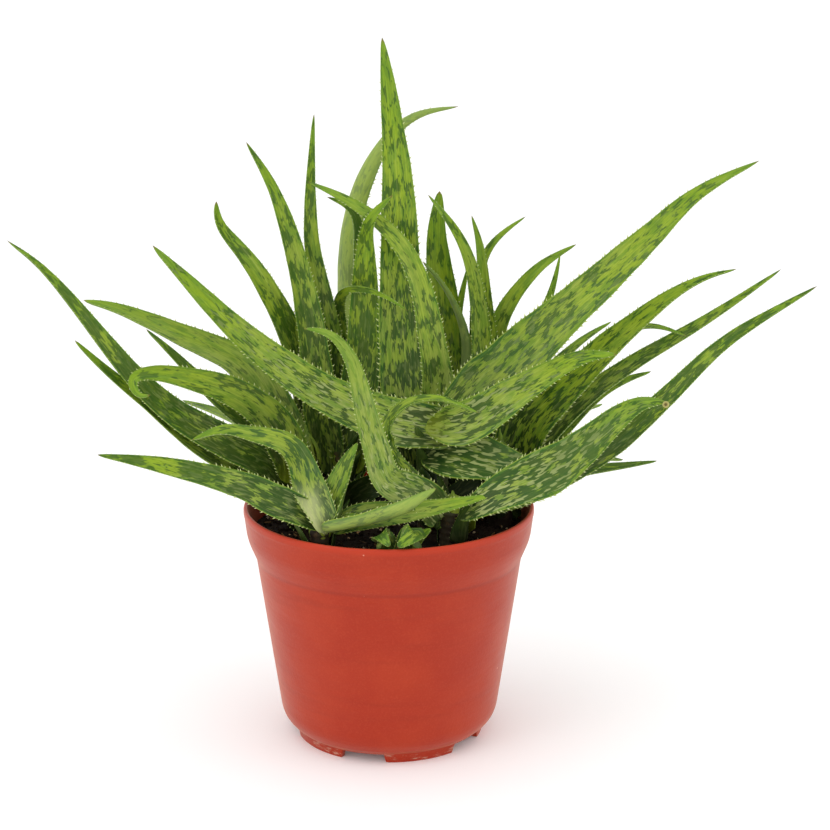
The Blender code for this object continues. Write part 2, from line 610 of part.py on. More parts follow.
def make_offset():
    """The tiny offset is one piece: short blades rooted in its stem."""
    body = stem_body(OFFSET_AT, OFFSET_RADIUS, OFFSET_TOP, 6)
    offset = object_from("offset_tiny", body, "leaf")
    start = (*OFFSET_AT, OFFSET_TOP - 2)
    blades = [object_from("blade", leaf_body(Leaf(start, (0, 0), row))) for row in OFFSET_LEAVES]
    combine(offset, blades, "UNION")


clear_scene()
make_pot()
make_soil()
make_stems()
make_leaves()
make_offset()
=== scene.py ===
# Spider aloe in a plastic nursery pot. Lengths in the dictionaries are in millimetres.
import itertools
import math

import bmesh
import bpy
import numpy as np
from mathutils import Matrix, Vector


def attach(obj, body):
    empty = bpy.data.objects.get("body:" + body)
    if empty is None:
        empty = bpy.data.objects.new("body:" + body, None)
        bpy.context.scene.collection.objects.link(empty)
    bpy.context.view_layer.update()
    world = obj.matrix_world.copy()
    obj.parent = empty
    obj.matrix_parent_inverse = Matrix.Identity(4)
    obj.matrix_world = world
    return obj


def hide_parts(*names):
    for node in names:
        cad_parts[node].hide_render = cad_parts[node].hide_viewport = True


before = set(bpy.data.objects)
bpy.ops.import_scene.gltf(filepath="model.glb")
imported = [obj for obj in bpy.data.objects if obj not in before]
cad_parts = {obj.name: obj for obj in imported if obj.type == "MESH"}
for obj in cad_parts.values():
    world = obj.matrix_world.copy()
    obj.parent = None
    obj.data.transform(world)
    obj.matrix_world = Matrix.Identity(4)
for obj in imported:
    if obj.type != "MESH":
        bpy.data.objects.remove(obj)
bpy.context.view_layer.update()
mm = 0.001


def method(operation):
    def calculate(self, *others):
        return self.join(operation, *others)
    return calculate


# sums on sockets, for shader and geometry trees alike
class Wire:
    def __init__(self, bench, socket):
        self.bench = bench
        self.socket = socket
        self.isVector = socket.type in ("VECTOR", "RGBA")

    def join(self, operation, *others):
        vectors = [isinstance(o, tuple) or getattr(o, "isVector", False) for o in others]
        vector = self.isVector or any(vectors)
        if vector and operation == "MULTIPLY" and not vectors[0]:
            sockets = {0: self, "Scale": others[0]}
            return self.bench.add("ShaderNodeVectorMath", {"operation": "SCALE"}, sockets)
        kind = "ShaderNodeVectorMath" if vector else "ShaderNodeMath"
        return self.bench.add(kind, {"operation": operation}, dict(enumerate((self, *others))))

    __add__ = __radd__ = method("ADD")
    __sub__ = method("SUBTRACT")
    __mul__ = __rmul__ = method("MULTIPLY")
    __truediv__ = method("DIVIDE")
    __pow__ = method("POWER")
    least = method("MINIMUM")
    most = method("MAXIMUM")
    size = method("ABSOLUTE")
    sine = method("SINE")
    cosine = method("COSINE")
    whole = method("FLOOR")
    above = method("GREATER_THAN")
    cross = method("CROSS_PRODUCT")
    unit = method("NORMALIZE")

    def __neg__(self):
        return self * -1.0

    def __rsub__(self, other):
        return self * -1.0 + other

    def dot(self, other):
        return self.bench.add("ShaderNodeVectorMath", {"operation": "DOT_PRODUCT"}, {0: self, 1: other}, 1)

    def held(self):                          # kept between 0 and 1
        return self.least(1.0).most(0.0)

    def step(self, low, high):               # 0 below low, 1 above high, smooth between
        return self.bench.add("ShaderNodeMapRange", {"interpolation_type": "SMOOTHSTEP"},
                              {"Value": self, "From Min": low, "From Max": high})

    def parts(self):
        return [self.bench.add("ShaderNodeSeparateXYZ", {}, {0: self}, i) for i in range(3)]


class Bench:
    def __init__(self, tree):
        self.tree = tree

    def add(self, kind, settings=None, sockets=None, output=0):
        node = self.tree.nodes.new(kind)
        for name, value in (settings or {}).items():
            setattr(node, name, value)
        for key, value in (sockets or {}).items():
            socket = node.inputs[key] if isinstance(key, int) else self.find(node.inputs, key)
            if isinstance(value, Wire):
                self.tree.links.new(value.socket, socket)
            else:
                socket.default_value = value
        found = node.outputs[output] if isinstance(output, int) else self.find(node.outputs, output)
        return Wire(self, found)

    @staticmethod
    def find(sockets, key):
        for socket in sockets:
            if socket.identifier == key:
                return socket
        return next(s for s in sockets if s.name == key and s.enabled)

    def xyz(self, x, y, z):
        return self.add("ShaderNodeCombineXYZ", {}, {0: x, 1: y, 2: z})

    def blend(self, first, second, share):   # colours, as sockets or hex text
        first, second = (rgba(c) if isinstance(c, str) else c for c in (first, second))
        return self.add("ShaderNodeMix", {"data_type": "RGBA"},
                        {"Factor_Float": share, "A_Color": first, "B_Color": second}, "Result_Color")

    def between(self, first, second, share):  # vectors
        return self.add("ShaderNodeMix", {"data_type": "VECTOR"},
                        {"Factor_Float": share, "A_Vector": first, "B_Vector": second}, "Result_Vector")

    def noise(self, place, scale=1.0, detail=2.0, rough=0.5):
        return self.add("ShaderNodeTexNoise", {},
                        {"Vector": place, "Scale": scale, "Detail": detail, "Roughness": rough})

    def stored(self, name):
        return self.add("ShaderNodeAttribute", {"attribute_name": name}, {}, "Vector")

    def inObject(self):
        return self.add("ShaderNodeTexCoord", {}, {}, "Object")

    def here(self):
        return self.add("GeometryNodeInputPosition")


def rgba(hexText):
    channels = [int(hexText[i:i + 2], 16) / 255 for i in (0, 2, 4)]
    return (*(c / 12.92 if c <= 0.04045 else ((c + 0.055) / 1.055) ** 2.4 for c in channels), 1.0)


def newMaterial(name):
    material = bpy.data.materials.new(name)
    material.use_nodes = True
    bench = Bench(material.node_tree)
    bench.shader = material.node_tree.nodes["Principled BSDF"]
    return material, bench


def finish(bench, baseColour=None, roughness=None, bump=None, bumpDepth=0.0002, **fixed):
    links = bench.tree.links
    if baseColour is not None:
        links.new(baseColour.socket, bench.shader.inputs["Base Color"])
    if roughness is not None:
        links.new(roughness.socket, bench.shader.inputs["Roughness"])
    if bump is not None:
        normal = bench.add("ShaderNodeBump", {}, {"Height": bump, "Distance": bumpDepth, "Strength": 1.0})
        links.new(normal.socket, bench.shader.inputs["Normal"])
    for name, value in fixed.items():
        bench.shader.inputs[name.replace("_", " ")].default_value = value


def link(name, mesh):
    piece = bpy.data.objects.new(name, mesh)
    bpy.context.scene.collection.objects.link(piece)
    return piece


def joined(name, pieces):
    with bpy.context.temp_override(active_object=pieces[0], object=pieces[0], selected_objects=pieces,
                                   selected_editable_objects=pieces):
        bpy.ops.object.join()
    pieces[0].name = name
    pieces[0].data.name = name
    return pieces[0]


# metres and degrees, the focal length as a share of the picture's width
view = {"place": (0.0108, -0.9, 0.383), "pitch": 15.31, "focal": 2281 / 830, "sensor": 36.0}
studio = {
    "sky": 0.98, "sun": 0.42, "sunFrom": (-0.4, -0.7, 1.4), "sunSpread": 75.0,
    "floor": 0.98, "floorGlow": 0.06, "floorReach": 6.0,
    "panels": [
        # name, place (m), size (m), power (W)
        ("window", (-0.75, -0.7, 0.75), (0.5, 0.9), 1.6),
        ("fill", (0.95, -0.3, 0.55), (0.5, 0.9), 0.9),
    ],
}


def aim(lamp, place, target):
    lamp.location = place
    lamp.rotation_euler = (Vector(target) - Vector(place)).to_track_quat("-Z", "Y").to_euler()
    bpy.context.scene.collection.objects.link(lamp)


def setStudio():
    lens = bpy.data.cameras.new("viewer")
    lens.sensor_width = view["sensor"]
    lens.lens = view["focal"] * view["sensor"]
    lens.clip_start = 0.05
    camera = bpy.data.objects.new("viewer", lens)
    camera.location = view["place"]
    camera.rotation_euler = (math.radians(90 - view["pitch"]), 0, 0)
    bpy.context.scene.collection.objects.link(camera)
    bpy.context.scene.camera = camera
    bpy.context.scene.view_settings.view_transform = "Standard"
    world = bpy.data.worlds.new("studio")
    world.use_nodes = True
    world.node_tree.nodes["Background"].inputs["Color"].default_value = (1, 1, 1, 1)
    world.node_tree.nodes["Background"].inputs["Strength"].default_value = studio["sky"]
    bpy.context.scene.world = world
    sun = bpy.data.lights.new("sun", "SUN")
    sun.energy = studio["sun"]
    sun.angle = math.radians(studio["sunSpread"])
    aim(bpy.data.objects.new("sun", sun), studio["sunFrom"], (0, 0, 0.1))
    for name, place, size, power in studio["panels"]:
        panel = bpy.data.lights.new(name, "AREA")
        panel.shape = "RECTANGLE"
        panel.size, panel.size_y = size
        panel.energy = power
        aim(bpy.data.objects.new(name, panel), place, (0, 0, 0.12))
    mesh = bpy.data.meshes.new("floor")
    reach = studio["floorReach"]
    corners = [(-reach, -reach, 0), (reach, -reach, 0), (reach, reach, 0), (-reach, reach, 0)]
    mesh.from_pydata(corners, [], [(0, 1, 2, 3)])
    floor = link("floor", mesh)
    material, bench = newMaterial("paleFloor")
    finish(bench, Base_Color=(studio["floor"], studio["floor"], studio["floor"], 1.0), Roughness=0.8,
           Emission_Color=(1.0, 1.0, 1.0, 1.0), Emission_Strength=studio["floorGlow"])
    mesh.materials.append(material)
    print("studio set")


setStudio()

pot = {
    "sides": 240, "rimRadius": 60.0, "rimHeight": 98.6, "rimWall": 1.8, "wall": 1.3,
    "collar": 58.6, "collarHeight": 86.0, "body": 55.0, "ledge": 77.4, "heel": 45.4, "heelHeight": 12.0,
    "foot": 38.9, "footWidth": 2.5, "floor": 5.6, "floorThick": 1.6, "sharpEdge": 38.0,
    "notches": 5, "notchWidth": 18.5, "notchHeight": 3.8, "firstNotch": -15.5,
    "drainRadius": 3.5, "drainCircle": 27.0, "drainSides": 24, "drillDepth": 6.0,
    "red": "A32A0C", "redLight": "B23815", "redDeep": "8E240C", "rimTopHighlight": "B63416", "grain": "BC4526",
    "dust": "C9A58F", "shade": "8C2412", "paleSpeck": "E2A48C", "darkSpeck": "5E2216", "stain": "6A2415",
    "speckScale": 110.0,
}


def rounded(corners):
    # each corner is (radius, height, rounding), and a rounded one becomes an arc of points
    points = []
    count = len(corners)
    for i, (radius, height, soft) in enumerate(corners):
        here = np.array([radius, height], float)
        if soft == 0:
            points.append(here)
            continue
        before = np.array(corners[i - 1][:2], float)
        after = np.array(corners[(i + 1) % count][:2], float)
        start = here + (before - here) * min(soft / np.linalg.norm(before - here), 0.5)
        end = here + (after - here) * min(soft / np.linalg.norm(after - here), 0.5)
        for t in np.linspace(0, 1, 6):
            points.append(start * (1 - t) ** 2 + here * 2 * t * (1 - t) + end * t * t)
    return points


def potMaterial():
    material, bench = newMaterial("nurseryPlastic")
    place = bench.inObject()
    x, y, z = place.parts()
    cloud = bench.noise(place, 38.0, 3.0, 0.55)
    red = bench.blend(pot["red"], pot["redLight"], cloud.step(0.35, 0.75) * 0.55)
    flow = bench.noise(place * (1.0, 1.0, 14.0), 16.0)
    red = bench.blend(red, pot["redDeep"], flow.step(0.5, 0.8) * 0.3)
    grain = bench.noise(place, 1300.0, 2.0, 0.6)
    red = bench.blend(red, pot["grain"], grain.step(0.45, 0.7) * 0.22)
    # painted highlight on the thin top of the rim, and a line of painted shade under the shoulder
    red = bench.blend(red, pot["rimTopHighlight"], z.step(0.0952, 0.0975) * 0.8)
    shoulder = z.step(0.0764, 0.0774) * (1.0 - z.step(0.0776, 0.0792))
    red = bench.blend(red, pot["shade"], shoulder * 0.4)
    # specks, scuffs at the foot and splashes of potting mix
    cells = ("ShaderNodeTexVoronoi", {"feature": "F1"}, {"Vector": place, "Scale": pot["speckScale"]})
    speck = bench.add(*cells)
    pick = bench.add(*cells, "Color").parts()[0]
    red = bench.blend(red, pot["paleSpeck"], (1.0 - speck.step(0.03, 0.06)) * pick.above(0.92) * 0.7)
    red = bench.blend(red, pot["darkSpeck"], (1.0 - speck.step(0.05, 0.09)) * (1.0 - pick.above(0.05)) * 0.7)
    scuff = bench.noise(place * (1.0, 1.0, 3.0), 160.0, 4.0, 0.7).step(0.52, 0.66)
    low = 1.0 - z.step(0.0015, 0.0065)
    red = bench.blend(red, pot["dust"], scuff * low * 0.75)
    radial = (x * x + y * y) ** 0.5
    inner = (1.0 - radial.step(0.0545, 0.0572)) * z.step(0.078, 0.086)
    red = bench.blend(red, pot["stain"], inner * scuff * 0.5)
    rough = bench.noise(place, 90.0, 3.0, 0.6) * 0.16 + 0.33 + scuff * low * 0.25
    peel = bench.noise(place, 900.0) * 0.3 + bench.noise(place * (1.0, 1.0, 5.0), 60.0) * 1.2
    finish(bench, red, rough, peel, 0.00016, IOR=1.48, Specular_IOR_Level=0.28, Subsurface_Weight=0.04,
           Sheen_Weight=0.3, Sheen_Roughness=0.35, Sheen_Tint=(1.0, 0.62, 0.42, 1.0))
    bench.shader.inputs["Subsurface Radius"].default_value = (0.004, 0.0012, 0.0008)
    return material


def turned(name, profile, sides, point):
    # a closed lathe form: point places each ring's vertices, and a ring of radius 0 is one vertex
    builder = bmesh.new()
    rings = []
    for radius, height in profile:
        ring = []
        for side in range(sides if radius else 1):
            ring.append(builder.verts.new(point(radius, 2 * math.pi * side / sides, height)))
        rings.append(ring)
    for ring, other in zip(rings, rings[1:]):
        for side in range(sides):
            after = (side + 1) % sides
            corners = [ring[side % len(ring)], ring[after % len(ring)],
                       other[after % len(other)], other[side % len(other)]]
            builder.faces.new(list(dict.fromkeys(corners)))
    bmesh.ops.recalc_face_normals(builder, faces=builder.faces)
    mesh = bpy.data.meshes.new(name)
    builder.to_mesh(mesh)
    builder.free()
    return mesh


def liveMesh(piece):
    return bpy.data.meshes.new_from_object(piece.evaluated_get(bpy.context.evaluated_depsgraph_get()))


def potPoint(radius, turn, height):
    # the foot ring is lifted at its notches
    if height < pot["notchHeight"] and radius < pot["foot"] + 0.7:
        height = max(height, footLift(math.degrees(turn) + 90) * pot["notchHeight"])
    return radius * mm * math.cos(turn), radius * mm * math.sin(turn), height * mm


def makePot():
    size = pot
    innerHeel = size["heel"] - size["wall"]
    floorTop = size["floor"] + size["floorThick"]
    inside = size["rimRadius"] - size["rimWall"]
    profile = [
        (0.0, size["floor"], 0), (size["foot"] - size["footWidth"], size["floor"], 0.4),
        (size["foot"] - size["footWidth"], 0.0, 0.35), (size["foot"], 0.0, 0.35),
        (size["foot"] + 0.6, size["notchHeight"] + 0.2, 0.5), (size["heel"] - 3.4, size["floor"] + 0.2, 1.2),
        (size["heel"] - 1.1, size["heelHeight"] - 3.2, 1.6), (size["heel"], size["heelHeight"], 1.6),
        (size["body"], size["ledge"], 1.2), (size["collar"], size["collarHeight"], 3.0),
        (size["rimRadius"] - 0.25, size["rimHeight"] - 3.4, 0.8),
        (size["rimRadius"], size["rimHeight"] - 2.6, 0.5),
        (size["rimRadius"], size["rimHeight"] - 0.8, 0.45), (size["rimRadius"] - 0.4, size["rimHeight"], 0.3),
        (inside + 0.4, size["rimHeight"], 0.3), (inside, size["rimHeight"] - 0.8, 0.45),
        (size["collar"] - size["wall"] - 0.4, size["collarHeight"], 2.0),
        (size["body"] - size["wall"], size["ledge"] + 0.3, 0.6),
        (innerHeel, size["heelHeight"] + 0.4, 1.2), (innerHeel - 1.6, floorTop + 1.4, 1.0),
        (innerHeel - 4.4, floorTop, 0.8), (0.0, floorTop, 0),
    ]
    mesh = turned("pot", rounded(profile), size["sides"], potPoint)
    piece = link("potFine", mesh)
    drillDrains(piece)
    piece.data.shade_smooth()
    piece.data.set_sharp_from_angle(angle=math.radians(size["sharpEdge"]))
    piece.data.materials.clear()
    piece.data.materials.append(potMaterial())
    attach(piece, "root")
    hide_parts("pot")
    print("pot turned")


def footLift(degrees):
    # 1 within a notch of the foot ring, 0 on a foot, with a short slope between
    best = 360.0
    for notch in range(pot["notches"]):
        middle = pot["firstNotch"] + notch * 360 / pot["notches"]
        best = min(best, abs((degrees - middle + 180) % 360 - 180))
    half = math.degrees(pot["notchWidth"] / 2 / pot["foot"])
    return min(max((half - best) / 0.9 + 0.5, 0.0), 1.0)


def drillDrains(piece):
    builder = bmesh.new()
    for hole in range(pot["notches"]):
        turn = math.radians(pot["firstNotch"] + (hole + 0.5) * 360 / pot["notches"] - 90)
        made = bmesh.ops.create_cone(builder, cap_ends=True, segments=pot["drainSides"],
                                     radius1=pot["drainRadius"] * mm, radius2=pot["drainRadius"] * mm,
                                     depth=pot["drillDepth"] * mm)
        shift = (pot["drainCircle"] * math.cos(turn), pot["drainCircle"] * math.sin(turn), pot["floor"] + 0.8)
        bmesh.ops.translate(builder, verts=made["verts"], vec=Vector(shift) * mm)
    mesh = bpy.data.meshes.new("drill")
    builder.to_mesh(mesh)
    builder.free()
    drill = link("drill", mesh)
    cut = piece.modifiers.new("drains", "BOOLEAN")
    cut.operation, cut.solver, cut.object = "DIFFERENCE", "EXACT", drill
    cutMesh = liveMesh(piece)
    piece.modifiers.clear()
    piece.data = cutMesh
    bpy.data.objects.remove(drill, do_unlink=True)


makePot()

rosettes = {
    "main": {"at": (18, -6), "radius": 6.5, "top": 127, "heart": 16},
    "rear_left": {"at": (-22, 24), "radius": 5.5, "top": 118, "heart": 18},
    "left": {"at": (-34, 4), "radius": 5.5, "top": 117, "heart": 14},
    "front_left": {"at": (-27, -40), "radius": 4.0, "top": 101, "heart": 10},
    "front": {"at": (26, -28), "radius": 5.5, "top": 105, "heart": 8},
    "right": {"at": (46, 6), "radius": 5.5, "top": 115, "heart": 14},
    "rear_right": {"at": (36, 29), "radius": 5.5, "top": 112, "heart": 14},
}
# Leaves by rosette. seat is the height where a leaf leaves its stem, and face and turn are the ways its
# upper side looks at its middle and its tip. look is dark, spots, yellow, wax and flecks. route is the
# midrib. base takes the place of the usual start, and of as many points of the route as skip says.
leaves = {
    "main": {
        "tall": {"seat": 119, "width": 23, "taper": 0.66, "face": (0.0, -1.0, 0.1),
            "look": (0.5, 0.95, 0.5, 0.05, 0.15), "route": [(8, 4.5, 148), (4.5, 11, 205), (2, 20, 250),
            (-2.5, 28, 287)]},
        "back_left": {"seat": 121, "width": 13, "neck": 1.15, "skip": 2, "face": (0.3, -1.0, 0.2),
            "look": (0.42, 0.85, 0.5, 0.1, 0.1), "base": [(20, -1, 130), (19.6, 1, 149), (17.4, -2, 167)],
            "route": [(25, 2, 150), (20, -3, 168), (12, -1, 193), (1, 5, 211), (-18, 12, 224),
            (-33, 18, 230)]},
        "left": {"seat": 119.5, "width": 21, "neck": 1.1, "face": (0.2, -0.9, 0.7),
            "look": (0.5, 0.9, 0.5, 0.1, 0.75), "base": [(27, -10, 131), (20, -12.5, 132.5),
            (12.5, -14, 134.5)], "route": [(-3, -14, 138), (-35, -12, 154), (-57, -10, 171), (-76, -6, 189),
            (-94, -4, 208)]},
        "right": {"seat": 125.5, "width": 24, "taper": 0.9, "neck": 0.75, "face": (-0.2, -1.0, 0.4),
            "look": (0.48, 0.85, 0.5, 0.45, 0.2), "base": [(22, -9, 126), (27, -8, 136)],
            "route": [(37, -7, 147), (69, -10, 179), (108, -8, 216), (124, -6, 230), (147, -4, 242)]},
        "right_low": {"seat": 118.3, "width": 18, "neck": 0.5, "clasp": 1.2, "skip": 1,
            "face": (0.0, -1.0, 0.3), "look": (0.46, 0.9, 0.6, 0.15, 0.6), "base": [(15.5, -18.5, 136.5),
            (20.5, -22.5, 137.6)], "route": [(19.6, -24.1, 132.9), (28, -27.5, 140), (38, -28, 145),
            (49, -28, 152.5), (62, -28, 160.5), (76, -29, 168), (90, -30, 169.5)]},
        "front_right": {"seat": 105, "width": 25, "neck": 0.95, "skip": 3, "face": (-0.1, -0.8, 0.55),
            "look": (0.72, 1.0, 0.2, 0.2, 1.0), "base": [(15, -14, 123.5), (30, -22, 125.5),
            (45, -28, 124)], "route": [(30.2, -17.6, 115.6), (33.8, -23.4, 125.9), (45, -28, 124.5),
            (56, -30.5, 122), (66, -31, 119)]},
    },
    "rear_left": {
        "wide": {"seat": 110, "width": 16, "taper": 0.6, "face": (0.5, -0.8, 0.3),
            "look": (0.58, 0.9, 0.5, 0.0, 0.12), "route": [(-34, 24, 134), (-39, 20.5, 158), (-50, 14, 186),
            (-60, 12, 202), (-68, 9, 214), (-69, 6, 224)]},
        "long": {"seat": 113, "width": 16, "face": (0.4, -0.9, 0.2), "look": (0.55, 0.9, 0.5, 0.09, 0.12),
            "route": [(-29, 14, 134), (-32, 14, 166), (-38.5, 15, 200), (-46.5, 14, 227), (-57, 12, 247)]},
        "slim": {"seat": 115, "width": 12, "face": (0.3, -1.0, 0.1), "look": (0.55, 0.9, 0.6, 0.07, 0.12),
            "route": [(-25, 30.5, 136), (-25, 27, 163), (-31, 23, 197), (-32, 22, 226), (-30, 22, 257)]},
        "bowed": {"seat": 103, "width": 22, "taper": 0.95, "face": (0.7, 0.7, 0.2),
            "look": (0.4, 0.8, 0.6, 0.45, 0.15), "route": [(-17, 42, 150), (-17, 43, 202), (-7, 43, 234),
            (9, 43, 252), (29, 44, 257)]},
        "dark": {"seat": 109, "width": 15, "face": (0.5, -0.9, 0.2), "look": (0.8, 0.95, 0.4, 0.06, 0.12),
            "route": [(-9.5, 25.5, 150), (-12, 22, 196), (-13, 20, 213), (-17, 18, 220), (-25, 16, 224)]},
        "hooked": {"seat": 112, "width": 19, "face": (-0.2, -1.0, 0.1), "look": (0.6, 0.9, 0.6, 0.06, 0.12),
            "route": [(-11, 17, 150), (-9, 9, 203), (-6, 0, 219), (2, -3, 228)]},
        "arch": {"seat": 116, "width": 8, "face": (0.0, -1.0, -0.2), "look": (0.6, 0.9, 0.6, 0.06, 0.08),
            "route": [(-18.5, 33, 140), (-21, 29, 174), (-15, 11, 187), (-3, 0, 187), (8, -4, 181)]},
        "back": {"seat": 103, "width": 13, "face": (0.4, -0.4, 0.8), "look": (0.5, 0.9, 0.5, 0.09, 0.12),
            "route": [(-33, 40, 125), (-48, 62, 142), (-66, 82, 150)]},
        "low": {"seat": 97, "width": 14, "face": (-0.1, -0.5, 0.8), "look": (0.5, 0.9, 0.5, 0.09, 0.12),
            "route": [(-8, 42, 117), (1, 64, 141), (7, 88, 150)]},
    },
    "left": {
        "hooked": {"seat": 114, "width": 17.5, "face": (0.1, -0.8, 0.5),
            "look": (0.45, 0.85, 0.7, 0.07, 0.12), "route": [(-45, -3, 130), (-60, -7, 146),
            (-80, -13, 155), (-95, -20, 159), (-101, -23, 157), (-99, -25, 152), (-94, -26, 152)]},
        "long": {"seat": 97.8, "width": 17, "taper": 0.9, "face": (0.4, -0.7, 0.6),
            "look": (0.78, 0.9, 0.5, 0.05, 0.2), "route": [(-47, 1, 112), (-69, -5, 127), (-96, -8, 147),
            (-120, -8, 177), (-139, -6, 200), (-152, -4, 210)]},
        "pale": {"seat": 113.3, "width": 21, "face": (0.2, -0.6, 0.8), "look": (0.35, 0.7, 0.3, 0.35, 0.1),
            "route": [(-48, 13, 132), (-60, 18.5, 151), (-83, 21, 163), (-111, 24, 175), (-127, 26, 179)]},
        "dark": {"seat": 108.1, "width": 12, "face": (0.3, -0.7, 0.7), "look": (0.75, 0.9, 0.3, 0.09, 0.12),
            "route": [(-52, 15.3, 122.5), (-69, 15, 137), (-86, 15.5, 155), (-100, 16, 169)]},
        "under": {"seat": 92.5, "width": 11, "taper": 0.6, "face": (0.3, -0.6, 0.7),
            "look": (0.6, 0.85, 0.4, 0.09, 0.12), "route": [(-47, 2, 103), (-74, -6, 122), (-97, -9, 143),
            (-113, -9, 157), (-126, -8, 170)]},
        "back": {"seat": 100, "width": 13, "face": (0.3, -0.4, 0.8), "look": (0.5, 0.9, 0.5, 0.09, 0.12),
            "route": [(-41.5, 18.4, 111.6), (-66, 38, 124), (-90, 56, 128)]},
    },
    "front_left": {
        "long": {"seat": 97, "width": 14.5, "neck": 0.7, "skip": 1, "face": (0.1, -0.9, 0.6),
            "look": (0.66, 0.95, 0.5, 0.0, 0.2), "base": [(-26, -42.5, 102.5), (-34.5, -44.5, 109),
            (-46, -46, 114.8)], "route": [(-36, -44, 109), (-54, -46, 119), (-81, -50, 128.5),
            (-112, -54, 135.5)]},
        "arch": {"seat": 99, "width": 14, "neck": 0.75, "skip": 1, "face": (0.3, -0.9, 0.25),
            "turn": (0.0, -0.6, 0.8), "look": (0.5, 0.9, 0.5, 0.9, 0.1), "base": [(-24.5, -47, 101.5),
            (-25.5, -46.5, 107.5), (-30, -40, 115)], "route": [(-29, -33, 112), (-34, -30, 123),
            (-40, -29, 132), (-53, -28, 136), (-65, -28, 138), (-78, -28, 134)]},
        "upright": {"seat": 99.5, "width": 14, "neck": 1.0, "face": (-0.4, -0.8, 0.2),
            "base": [(-23.5, -43.5, 102.5), (-22, -40, 109)], "route": [(-20, -36, 116), (-16, -32, 126),
            (-12, -28, 133)]},
        "spout": {"seat": 94, "width": 14, "neck": 0.8, "face": (0, 0.1, 1.0), "turn": (0.2, 0.9, 0.3),
            "look": (0.45, 0.9, 0.5, 0.3, 0.14), "base": [(-24.5, -45, 102.5), (-18, -48.5, 105.5)],
            "route": [(-8.7, -50, 107.8), (4.9, -50, 111.8), (12, -50, 116), (19, -50, 120.8)]},
        "strap": {"seat": 93.5, "width": 12, "neck": 0.7, "skip": 1, "face": (0.0, -0.9, 0.6),
            "look": (0.4, 0.9, 0.5, 0.3, 0.14), "base": [(-22, -40.5, 100), (-14, -40, 104)],
            "route": [(-14, -38, 103.5), (13, -41.5, 109), (42, -43, 116)]},
    },
    "front": {
        "curled": {"seat": 99.5, "width": 14, "neck": 1.3, "skip": 1, "face": (0.25, -1.0, 0.35),
            "turn": (0.3, -0.9, 0.1), "look": (0.36, 0.75, 0.12, 0.5, 1.0), "base": [(20, -31.5, 102),
            (12.5, -36.5, 113.5), (1, -41.5, 120.5)], "route": [(7, -36, 117), (-4, -43, 132),
            (-9, -45, 151), (-14, -46, 171), (-22, -45, 181), (-32, -43, 183)]},
        "arch": {"seat": 104.5, "width": 9.5, "face": (0.0, -0.4, 1.0), "route": [(9, -31, 119),
            (-1, -34, 136), (5, -35, 149), (17, -35, 153), (27, -35, 151), (36, -35, 147)]},
        "broad": {"seat": 96.5, "width": 20, "neck": 0.4, "fullAt": 0.42, "skip": 1,
            "face": (-0.2, -0.9, 0.5), "look": (0.68, 0.95, 0.4, 0.25, 0.7), "base": [(28.5, -34.6, 104.5),
            (36, -42, 111), (44.5, -43.5, 116.3)], "route": [(45, -38.5, 110.5), (64, -39, 124),
            (84, -37, 139), (99, -34, 150), (110, -34, 151)]},
        "long": {"seat": 102, "width": 13, "face": (-0.2, -0.8, 0.6), "look": (0.74, 0.95, 0.6, 0, 0.2),
            "route": [(42, -22, 106), (62, -21, 113), (85, -21, 126), (101, -21, 139), (129, -19, 167),
            (148, -18, 181), (170, -16, 194)]},
    },
    "right": {
        "wide": {"seat": 112, "width": 22, "taper": 1.1, "face": (-0.3, -0.8, 0.5),
            "look": (0.42, 0.98, 0.85, 0.0, 0.1), "route": [(57, 4, 130), (76, 4, 151), (102, 3, 176),
            (125, 0, 193), (140, -2, 198)]},
        "long": {"seat": 105, "width": 11, "face": (-0.3, -0.7, 0.6), "look": (0.55, 0.9, 0.5, 0.06, 0.16),
            "route": [(61, 14, 118), (90, 14, 147), (122, 13, 168), (160, 12, 195)]},
        "hooked": {"seat": 106.5, "width": 9, "face": (-0.3, -0.5, 0.8),
            "look": (0.6, 0.9, 0.5, 0.06, 0.12), "route": [(57, 19.5, 125), (84, 22, 153), (100, 18, 168),
            (112, 10, 171), (122, 7, 168)]},
        "short": {"seat": 101, "width": 12, "face": (-0.2, -0.7, 0.7), "look": (0.55, 0.9, 0.5, 0.06, 0.12),
            "route": [(61, 20, 111), (88, 26, 138), (110, 28, 148)]},
        "dark": {"seat": 97, "width": 9, "face": (-0.1, -0.6, 0.8), "look": (0.8, 0.95, 0.4, 0.06, 0.12),
            "route": [(65, 8, 106), (92, 12, 110.5), (112, 14, 113)]},
        "small": {"seat": 102, "width": 9, "face": (-0.2, -0.7, 0.7), "look": (0.6, 0.9, 0.5, 0.06, 0.12),
            "route": [(59, -3, 112), (70, -2, 120), (80, 0, 125)]},
        "wedge": {"seat": 110, "width": 10, "face": (-0.4, -0.7, 0.5), "look": (0.6, 0.9, 0.5, 0.06, 0.12),
            "route": [(50, 20, 129), (66, 25, 148), (80, 27, 161), (93, 30, 169)]},
        "back": {"seat": 92.5, "width": 12, "face": (-0.3, -0.4, 0.8), "look": (0.55, 0.9, 0.5, 0.09, 0.12),
            "route": [(49, 21, 101), (76, 37, 107), (101, 46, 104)]},
    },
    "rear_right": {
        "wide": {"seat": 109, "width": 19, "taper": 0.5, "face": (0.0, -1.0, 0.1),
            "look": (0.42, 0.9, 0.65, 0.15, 0.2), "route": [(27, 33, 135), (22, 36, 180), (20, 36, 205),
            (21, 36, 223)]},
        "bent": {"seat": 108, "width": 12, "face": (0.3, -1.0, 0.1), "route": [(38.5, 22, 140),
            (38, 20, 163), (35, 18, 189), (28, 14, 209), (16, 10, 226)]},
        "upright": {"seat": 110, "width": 12.5, "face": (0.2, -1.0, 0.1), "route": [(44, 28, 140),
            (41, 28, 161), (39, 28, 187), (37, 26, 204), (34, 24, 215)]},
